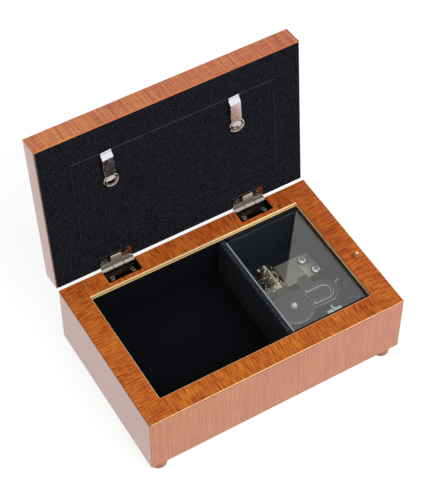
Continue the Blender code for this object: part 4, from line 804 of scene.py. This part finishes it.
def on_outside(place):
    """Whether a point lies on the box's outer upright faces or their rounded corners."""
    return abs(place.x) > HALF_X - CORNER_ROUNDING or abs(place.y) > HALF_Y - CORNER_ROUNDING


def on_hole_edge(place):
    """Whether a point lies on the rim's upper edge round the compartments."""
    inside = HOLE_FRONT - SLACK < place.y < HOLE_BACK + SLACK and abs(place.x) < HOLE_X + SLACK
    return place.z > RIM_TOP - SLACK and inside


def make_rims():
    """Four rim boards: satin face, lacquered outer side, and sawn edges round the compartments."""
    top, side, raw, pale, dark, black = range(6)

    def finish_of(middle, normal):
        if normal.z > 0.95:
            return top
        lapped = abs(middle.x - HOLE_X) < MM and normal.x < -0.05
        rounded, upper = normal.z > 0.05, normal.z > 0.35
        # Rounded edges: the pale finish is also a painted highlight, the dark one a painted shade
        # line beside it
        if rounded and middle.x < -HALF_X + EDGE_ROUNDING:
            return dark if upper else side
        if rounded and lapped:
            return top
        if rounded:
            return dark if not upper and on_outside(middle) else pale
        if on_outside(middle):
            return side
        if lapped:
            return top if middle.z > RIM_TOP - VENEER_LAP else pale
        # Black on the hole's hidden sides and the notches' ends, and as painted shade inside the
        # pin's hole
        return raw if middle.y > 0 and abs(normal.x) < 0.5 else black

    def in_notch(middle):
        return middle.y > NOTCH_FRONT and abs(abs(middle.x) - HINGE_X) < NOTCH_WIDTH / 2

    notch_lines = [turn * HINGE_X + end * NOTCH_WIDTH / 2 for turn in (-1, 1) for end in (-1, 1)]
    notches = (notch_lines, (NOTCH_FRONT,), in_notch)
    # Two corners of each board, and what is cut out of it
    boards = {
        "rim_left": ((-HALF_X, -HALF_Y), (-HOLE_X, HALF_Y), ()),
        "rim_right": ((HOLE_X, -HALF_Y), (HALF_X, HALF_Y), ()),
        "rim_front": ((-HOLE_X, -HALF_Y), (HOLE_X, HOLE_FRONT), ()),
        "rim_back": ((-HOLE_X, HOLE_BACK), (HOLE_X, HALF_Y), notches),
    }
    for name, (low, high, cuts) in boards.items():
        board = flatten(lift(sheet(low, high, RIM_UNDER, *cuts), RIM_TOP - RIM_UNDER))
        ease(board, CORNER_ROUNDING, 3, at_outer_corner)
        ease(board, EDGE_ROUNDING, 3, lambda place: place.z > RIM_TOP - SLACK and on_outside(place))
        for y in (HOLE_FRONT, HOLE_BACK):
            divide(board, (0, y, 0), (0, 1, 0))
        ease(board, INNER_ROUNDING, 2, on_hole_edge)
        if name == "rim_right":
            divide(board, (0, 0, RIM_TOP - VENEER_LAP), (0, 0, 1))
            hole = rod_shape(PIN_HOLE_RADIUS, PIN_X, PIN_Y, RIM_UNDER - MM, PIN_HOLE_DEPTH, 32)
            board = carve(board, hole)
        dress(board, finish_of)
        long = name in ("rim_front", "rim_back")
        faces = (RIM_CROSS_Y, SIDE) if long else (RIM_CROSS_X, QUIET_SIDE)
        finishes = (*faces, RAW_EDGE, EASED_EDGE, DARK_EDGE, BLACK_EDGE)
        finish_piece(name, board, finishes, "box")


def make_walls():
    """The mitred walls, flush with the rim boards, with eased corners and bottom edges."""
    profile = [(0.0, WALL_UNDER), (WALL, WALL_UNDER), (WALL, RIM_UNDER), (0.0, RIM_UNDER)]
    face, shaded_top, underside = range(3)

    def on_bottom_edge(place):
        return place.z < WALL_UNDER + SLACK and on_outside(place)

    # The wall's top, seen only in the notches round the hinges, is black as painted shade; the
    # underside and the lower part of the rounded bottom edge are dark brown as painted shade
    def finish_of(middle, normal):
        if normal.z < -0.3:
            return underside
        return shaded_top if normal.z > 0.9 else face

    for side in SIDES:
        ring = frame_ring(profile)
        ease(ring, CORNER_ROUNDING, 3, at_outer_corner)
        ease(ring, INNER_ROUNDING, 2, on_bottom_edge)
        wall = mitred(ring, side)
        if side == "right":
            low, high = GROOVE_LOW[2], GROOVE_HIGH[2]
            wall = carve(wall, lift(sheet(GROOVE_LOW, GROOVE_HIGH, low), high - low))
        dress(wall, finish_of)
        wood = SIDE if side in ("front", "back") else QUIET_SIDE
        finish_piece(f"wall_{side}", wall, (wood, BLACK_EDGE, UNDER_EDGE), "box")


def make_lid_frame():
    """The lid's mitred rails: veneered outside, black lacquer on the underside and its rounding."""
    rounding = RAIL_ROUNDING
    lip = RAIL_WIDTH + LIP_WIDTH
    profile = arc((rounding, LID_UNDER + rounding), rounding, 180, 270, 4)
    profile += [(RAIL_WIDTH, LID_UNDER), (RAIL_WIDTH, LIP_UNDER), (lip, LIP_UNDER)]
    profile += [(lip, LID_TOP - LIP_SLOPE_DEPTH), (lip - LIP_SLOPE, LID_TOP)]
    profile += arc((rounding, LID_TOP - rounding), rounding, 90, 180, 4)
    outside, black, top = range(3)
    # How far round the lower edge the veneer reaches before the black begins
    wood_reach = {"front": -0.9, "left": -0.6, "right": -0.3, "back": -0.3}

    for side in SIDES:

        def finish_of(middle, normal):
            if normal.z < wood_reach[side] and middle.z < LIP_UNDER - MM:
                return black
            return top if normal.z > 0.9 else outside

        ring = ease(frame_ring(profile), CORNER_ROUNDING, 3, at_outer_corner)
        rail = dress(mitred(ring, side), finish_of)
        face = LID_FACE_X if side in ("left", "right") else LID_FACE_Y
        finishes = (LID_FRONT if side == "front" else LID_SIDE, BLACK_LACQUER, face)
        finish_piece(f"lid_rail_{side}", rail, finishes, "lid")


def make_lid_lining():
    """The felt faced border and backing panel in the lid, with soft edges at the seam."""
    leaf_half = LEAF_WIDTH / 2 + SEAT
    leaf_front = HALF_Y - LEAF_REACH - SEAT
    ends = [turn * HINGE_X + end * leaf_half for turn in (-1, 1) for end in (-1, 1)]
    lines_x = ends + [-WINDOW_X, WINDOW_X]
    lines_y = (-WINDOW_Y, WINDOW_Y, leaf_front)

    def opened(middle):
        window = abs(middle.x) < WINDOW_X and abs(middle.y) < WINDOW_Y
        leaf = middle.y > leaf_front and abs(abs(middle.x) - HINGE_X) < leaf_half
        return window or leaf

    def on_face(place):
        return place.z < FELT_FACE + SLACK

    # Seam faces turned towards the light take the paler flock, a painted highlight
    def border_finish(middle, normal):
        return 1 if normal.x < -0.3 and 0 < middle.x < WINDOW_X + MM else 0

    def panel_finish(middle, normal):
        return 1 if normal.z > -0.97 and (normal.y < -0.2 or normal.x < -0.2) else 0

    half_x, half_y = HALF_X - FELT_INSET, HALF_Y - FELT_INSET
    plan = sheet((-half_x, -half_y), (half_x, half_y), FELT_FACE, lines_x, lines_y, opened)
    border = ease(flatten(lift(plan, LID_UNDER - FELT_FACE)), SEAM_ROUNDING, 2, on_face)
    dress(border, border_finish)
    finish_piece("lid_felt", border, (LID_FELT, SEAM_FELT), "lid")

    panel_x, panel_y = WINDOW_X - 2 * SEAM, WINDOW_Y - 2 * SEAM
    panel = lift(sheet((-panel_x, -panel_y), (panel_x, panel_y), FELT_FACE), PANEL_THICKNESS)
    dress(ease(panel, SEAM_ROUNDING, 2, on_face), panel_finish)
    low = FELT_FACE - MM
    holes = [(RIVET_HOLE_RADIUS, x, CLIP_Y, low, PANEL_THICKNESS) for x in CLIP_X.values()]
    panel = carve(panel, *[rod_shape(*hole, 24) for hole in holes])
    finish_piece("backing_panel", panel, (LID_FELT, SEAM_FELT), "lid")


def make_linings():
    """The flocked tray of the well and the divider beside it, with soft upper edges."""
    floor = FLOOR_TOP + LINING
    low, high = (-INNER_X + SEAT, -INNER_Y + SEAT), (DIVIDER_LEFT - SEAT, INNER_Y - SEAT)
    left, front, back = low[0] + LINING, low[1] + LINING, high[1] - LINING

    def on_wall(middle):
        return middle.x < left or not front < middle.y < back

    def at_fold(place):
        return abs(place.z - floor) < SLACK and place.x < high[0] - MM

    tray = lift(sheet(low, high, FLOOR_TOP, (left,), (front, back)), LINING)
    lift(tray, RIM_UNDER - floor - LINING_GAP, on_wall)
    ease(tray, TRAY_ROUNDING, 3, at_fold)
    finish_piece("well_lining", tray, (FELT,), "box")

    low, high = (DIVIDER_LEFT, -INNER_Y + SEAT), (DIVIDER_RIGHT, INNER_Y - SEAT)
    divider = lift(sheet(low, high, FLOOR_TOP), PANE_UNDER - SEAT - FLOOR_TOP)
    ease(divider, DIVIDER_ROUNDING, 3, lambda place: place.z > FLOOR_TOP + MM)
    finish_piece("divider", divider, (DIVIDER_FELT,), "box")


def make_pane():
    """The clear pane over the movement, with sawn edges that catch the light."""
    clear, bright, black = range(3)
    low, high = (PANE_LEFT, -PANE_HALF), (PANE_RIGHT, PANE_HALF)
    pane = lift(sheet(low, high, PANE_UNDER), PANE_TOP - PANE_UNDER)

    def at_glint(place):
        return place.x < PANE_LEFT + PANE_CHAMFER and place.z > PANE_TOP - PANE_CHAMFER - SLACK

    def finish_of(middle, normal):
        if abs(normal.z) > 0.95:
            return clear
        # The top of the left side is a painted glint; the other sides are black as painted shade
        return bright if normal.x < -0.3 and middle.z > PANE_TOP - PANE_GLINT else black

    ease(pane, PANE_CHAMFER, 1, at_glint)
    ease(pane, PANE_ROUNDING, 2, lambda place: not at_glint(place))
    divide(pane, (0, 0, PANE_TOP - PANE_GLINT), (0, 0, 1))
    dress(pane, finish_of)
    piece = finish_piece("window_pane", pane, (CLEAR, CLEAR_EDGE, BLACK_EDGE), "box")
    # Clear acrylic casts hardly a shadow on the movement
    piece.visible_shadow = False


def make_feet():
    """Turned feet with a small shoulder under the wall and a rounded tread."""
    shoulder, tread = FOOT_RADIUS - FOOT_SHOULDER, FOOT_RADIUS - FOOT_TREAD
    profile = [(0.0, WALL_UNDER), (FOOT_RADIUS - 0.3 * MM, WALL_UNDER)]
    profile += arc((shoulder, WALL_UNDER - FOOT_SHOULDER), FOOT_SHOULDER, 60, 0, 2)
    profile += arc((tread, GROUND + FOOT_TREAD), FOOT_TREAD, 0, -90, 5) + [(0.0, GROUND)]
    for name, (x, y) in FEET.items():
        finish_piece(name, turned(profile, at(x, y, 0.0)), (FOOT_WOOD,), "box")


def cross_screw(place, sizes):
    """A screw with a domed head, a cross recess, a sunk or flat seat and a shank."""
    radius, dome, sink, shank, length, recess = (size * MM for size in sizes)
    arch = [(radius * math.sin(a), dome * math.cos(a)) for a in (0.0, 0.45, 0.9, 1.2)]
    arch += [(radius, dome * 0.2), (radius, 0.0)]
    body = turned(arch + [(shank, -sink), (shank, -length), (0.0, -length)])
    # The recess's arms are a fifth as wide as they are long, and go halfway down the dome
    cutters = []
    for long, wide in ((recess, 0.2 * recess), (0.2 * recess, recess)):
        cutters.append(lift(sheet((-long, -wide), (long, wide), dome * 0.5), 2 * dome + MM))
    body = carve(body, *cutters)
    bmesh.ops.transform(body, matrix=place, verts=body.verts)
    return body


def leaf(x, low_z, knuckles, upright):
    """A hinge leaf with a pressed border, its screw sinks and its knuckles.

    knuckles are the thirds of the barrel that are its own: -1, 0 or 1. The lid's leaf is upside
    down, with upright -1, and has a raised field in its middle.
    """
    half, third = LEAF_WIDTH / 2, LEAF_WIDTH / 6
    front, barrel = HALF_Y - LEAF_REACH, HALF_Y - KNUCKLE_RADIUS - SEAT
    face_z = low_z + (LEAF_THICKNESS if upright > 0 else 0.0)
    plate_face, bright, satin, painted_shade = range(4)

    def opened(middle):
        own = (abs(middle.x - x) < third) == (0 in knuckles)
        return middle.y > barrel and not own

    def at_front_corner(place):
        return place.y < front + SLACK and abs(place.x - x) > half - SLACK

    def on_face_edge(place):
        return abs(place.z - face_z) < SLACK and place.y < barrel - MM

    def finish_of(middle, normal):
        # The edge band is bright, but painted dark as shade at its right end; the screw sinks'
        # sides are painted shade too
        if max(abs(middle.x - x) - half, front - middle.y) > -LEAF_EDGE:
            return bright if middle.x < x + half - LEAF_CORNER else painted_shade
        in_sink = abs(abs(middle.x - x) - SCREW_SPREAD) < SINK_RADIUS
        return painted_shade if abs(normal.z) < 0.9 and in_sink else plate_face

    low, high = (x - half, front), (x + half, HALF_Y)
    plan = sheet(low, high, low_z, (x - third, x + third), (barrel,), opened)
    plate = flatten(lift(plan, LEAF_THICKNESS))
    ease(plate, LEAF_CORNER, 4, at_front_corner)
    faces = [face for face in plate.faces if face.normal.z * upright > 0.9]
    face = max(faces, key=lambda face: face.calc_area())
    border = {"thickness": LEAF_BORDER, "depth": -LEAF_PRESS, "use_even_offset": True}
    bmesh.ops.inset_region(plate, faces=[face], **border)
    ease(plate, LEAF_EDGE, 2, on_face_edge)
    cone = [(0.0, SEAT), (SINK_RADIUS + SEAT, SEAT), (SINK_FOOT, -SINK_DEPTH), (0.0, -SINK_DEPTH)]
    y = HALF_Y - SCREW_REACH
    spots = [at(x + turn * SCREW_SPREAD, y, face_z, upright) for turn in (-1, 1)]
    plate = carve(plate, *[turned(cone, spot, steps=24) for spot in spots])
    dress(plate, finish_of)

    end, r = (LEAF_WIDTH / 3 - KNUCKLE_GAP) / 2, KNUCKLE_RADIUS
    profile = [(0.0, -end), (r - KNUCKLE_EDGE, -end), (r, -end + KNUCKLE_EDGE)]
    profile += [(r, end - KNUCKLE_EDGE), (r - KNUCKLE_EDGE, end), (0.0, end)]
    others = []
    for spot in knuckles:
        middle = at(x + spot * LEAF_WIDTH / 3, PIVOT.y, PIVOT.z)
        knuckle = turned(profile, middle @ Matrix.Rotation(math.pi / 2, 4, "Y"), 40)
        others.append(dress(knuckle, lambda middle, normal: bright))
    if upright < 0:
        low, high = (x - FIELD_X, y - FIELD_Y), (x + FIELD_X, y + FIELD_Y)
        root = LEAF_THICKNESS / 2
        field = lift(sheet(low, high, face_z + root), -root - LEAF_PRESS)
        ease(field, FIELD_ROUNDING, 3, lambda place: place.z < face_z)
        others.append(dress(field, lambda middle, normal: satin))
    return merge(plate, *others)


def make_hinges():
    """Two nickel plated butt hinges with their cross head screws."""
    upper_face = LID_UNDER - SEAT - LEAF_THICKNESS
    lower_face = RIM_UNDER + LEAF_THICKNESS
    others = (BARREL_NICKEL, SATIN_NICKEL, SINK_SHADE)
    for side, turn in (("left", -1), ("right", 1)):
        x, y = turn * HINGE_X, HALF_Y - SCREW_REACH
        lower = leaf(x, RIM_UNDER, (-1, 1), 1)
        # The notch's leaf is painted dark as a reflection of the black felt
        finish_piece(f"hinge_{side}_lower_leaf", lower, (DARK_NICKEL, *others), "box")
        upper = leaf(x, upper_face, (0,), -1)
        finish_piece(f"hinge_{side}_upper_leaf", upper, (LEAF_NICKEL, *others), "lid")
        for end, spread in (("a", -1), ("b", 1)):
            spot = x + spread * SCREW_SPREAD
            low = at(spot, y, lower_face - HEAD_DROP)
            high = at(spot, y, upper_face + HEAD_DROP, -1)
            for level, place, body in (("lower", low, "box"), ("upper", high, "lid")):
                screw = cross_screw(place, LEAF_SCREW)
                name = f"hinge_{side}_{level}_screw_{end}"
                finish_piece(name, screw, (SCREW_NICKEL,), body)


def clip_strip():
    """The clip's sprung strip, pointing along Y from the rivet, with bright cut edges."""
    strip = bmesh.new()
    heights = in_mm(CLIP_STRIP)
    line = [strip.verts.new((-CLIP_WIDTH / 2, along, height)) for along, height in heights]
    edges = [strip.edges.new(pair) for pair in zip(line, line[1:])]
    grown = bmesh.ops.extrude_edge_only(strip, edges=edges)["geom"]
    moved = [item for item in grown if isinstance(item, bmesh.types.BMVert)]
    bmesh.ops.translate(strip, verts=moved, vec=(CLIP_WIDTH, 0, 0))
    face_outwards(strip)
    bmesh.ops.solidify(strip, geom=strip.faces[:], thickness=CLIP_SHEET)
    ease(strip, CLIP_EDGE, 2, lambda place: abs(place.x) > CLIP_WIDTH / 2 - SLACK)
    return dress(strip, lambda middle, normal: int(abs(middle.x) > CLIP_WIDTH / 2 - CLIP_EDGE))


def make_clips():
    """Spring clips: a dished ring round the rivet, and a strip with a crest and a turned up tip."""
    _, bright, painted_shade = range(3)

    def ring_finish(middle, normal):
        # The dish inside the raised lip is painted dark as shade
        return bright if middle.xy.length > CLIP_DISH_RADIUS else painted_shade

    for side, x in CLIP_X.items():
        aim = Matrix.Rotation(-CLIP_TILT, 4, "Z") @ Matrix.Diagonal((1.0, -1.0, -1.0, 1.0))
        place = at(x, CLIP_Y, FELT_FACE) @ aim
        ring = dress(turned(in_mm(CLIP_RING), steps=48), ring_finish)
        clip = merge(ring, clip_strip())
        bmesh.ops.transform(clip, matrix=place, verts=clip.verts)
        name = f"clip_{side}"
        finish_piece(name, clip, (CLIP_NICKEL, BARREL_NICKEL, SINK_SHADE), name, smooth=50)
        rivet = turned(in_mm(RIVET), place, steps=40)
        finish_piece(name + "_rivet", rivet, (RIVET_NICKEL,), "lid")


def make_stop_pin():
    """The satin pin that the lid presses."""
    crown = arc((PIN_RADIUS - PIN_ROUNDING, PIN_TOP - PIN_ROUNDING), PIN_ROUNDING, 80, 0, 4)
    profile = [(0.0, PIN_TOP)] + crown + [(PIN_RADIUS, PIN_FOOT), (0.0, PIN_FOOT)]
    pin = turned(profile, at(PIN_X, PIN_Y, 0.0))
    finish_piece("stop_pin", pin, (SATIN_STEEL,), "stop")


def from_cad(name):
    """A merged copy of a CAD node's shape, free of its inner triangle edges."""
    shape = bmesh.new()
    shape.from_mesh(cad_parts[name].data)
    bmesh.ops.remove_doubles(shape, verts=shape.verts, dist=TOUCHING)
    return flatten(shape)


def make_castings():
    """The cast drum cover, cover and bedplate, with upper edges painted lighter than their faces as
    highlights.
    """
    castings = (
        ("spring_housing", COVER_EDGE, (ZINC, ZINC_EDGE), COVER_LIT_ABOVE),
        ("governor_bracket", BRACKET_EDGE, (ZINC, BRIGHT_EDGE), COVER_LIT_ABOVE),
        ("bedplate", COVER_EDGE, (DARK_ZINC, ZINC), BEDPLATE_LIT_ABOVE),
    )
    for name, width, finishes, lit_above in castings:
        shape = from_cad(name)
        edges = [edge for edge in sharp_edges(shape) if edge.verts[0].co.z > lit_above]
        for face in bevel(shape, edges, width, 2):
            face.material_index = 1
        finish_piece(name, shape, finishes, "box")


def make_comb():
    """The comb, with slots cut through between its teeth and a slanted back end."""
    half = NOTES * NOTE_PITCH / 2
    near, far = COMB_MIDDLE_Y - half, COMB_MIDDLE_Y + half
    middles = [near + note * NOTE_PITCH for note in range(1, NOTES)]
    slots = [(middle - COMB_SLOT / 2, middle + COMB_SLOT / 2) for middle in middles]
    lines = [y for slot in slots for y in slot]

    def opened(middle):
        return middle.x < COMB_ROOT and any(start < middle.y < end for start, end in slots)

    def on_top_edge(place):
        return place.z > COMB_UNDER + SLACK and place.x > COMB_ROOT + MM

    low, high = (COMB_TIP, near), (COMB_BACK_FRONT, far)
    comb = lift(sheet(low, high, COMB_UNDER, (COMB_ROOT,), lines, opened), COMB_THICKNESS)
    slant = Vector((far - near, COMB_BACK_FRONT - COMB_BACK_REAR, 0.0))
    divide(comb, (COMB_BACK_FRONT, near, 0.0), slant, clear=True)
    ease(flatten(comb), COMB_ROUNDING, 2, on_top_edge)
    finish_piece("comb", comb, (COMB_STEEL,), "box")


def make_cylinder():
    """The pinned barrel, with pin tips painted bright as highlights, and dark ends."""
    barrel, pins, ends = range(3)

    def finish_of(middle, normal):
        if not BARREL_FRONT < middle.y < BARREL_BACK:
            return ends
        from_axis = Vector((middle.x - DRUM_X, middle.z - BARREL_Z)).length
        return pins if from_axis > BARREL_RADIUS + PIN_BASE else barrel

    shape = dress(from_cad("cylinder"), finish_of)
    finish_piece("cylinder", shape, (PALE_BARREL, BRIGHT_PIN, DARK_ZINC), "cylinder")


def make_comb_screws():
    """The comb's two domed screws, painted bright on top as a highlight and dark round the rim and
    in the recess as shade.
    """
    for name, (x, y) in COMB_SCREW_PLACES.items():

        def finish_of(middle, normal):
            outer = (middle.xy - Vector((x, y))).length > HEAD_BRIGHT_RADIUS
            low = middle.z < COMB_TOP + HEAD_BRIGHT_HEIGHT
            return 1 if outer or low or abs(normal.z) < 0.3 else 0

        screw = dress(cross_screw(at(x, y, COMB_TOP), COMB_SCREW), finish_of)
        finish_piece(name, screw, (BRIGHT_SCREW, DARK_NICKEL), "box")


def make_stop_wire():
    """The stop pin's wire, whose bend is painted white beside the cover as a highlight."""

    def finish_of(middle, normal):
        return 0 if middle.x < WIRE_BRIGHT_X and middle.y > WIRE_BRIGHT_Y else 1

    wire = dress(from_cad("stop_wire"), finish_of)
    finish_piece("stop_wire", wire, (BRIGHT_PIN, DARK_ZINC), "stop")


make_camera()
make_studio()
dress_nodes()
make_rims()
make_walls()
make_lid_frame()
make_lid_lining()
make_linings()
make_pane()
make_feet()
make_hinges()
make_clips()
make_stop_pin()
make_castings()
make_comb()
make_cylinder()
make_comb_screws()
make_stop_wire()
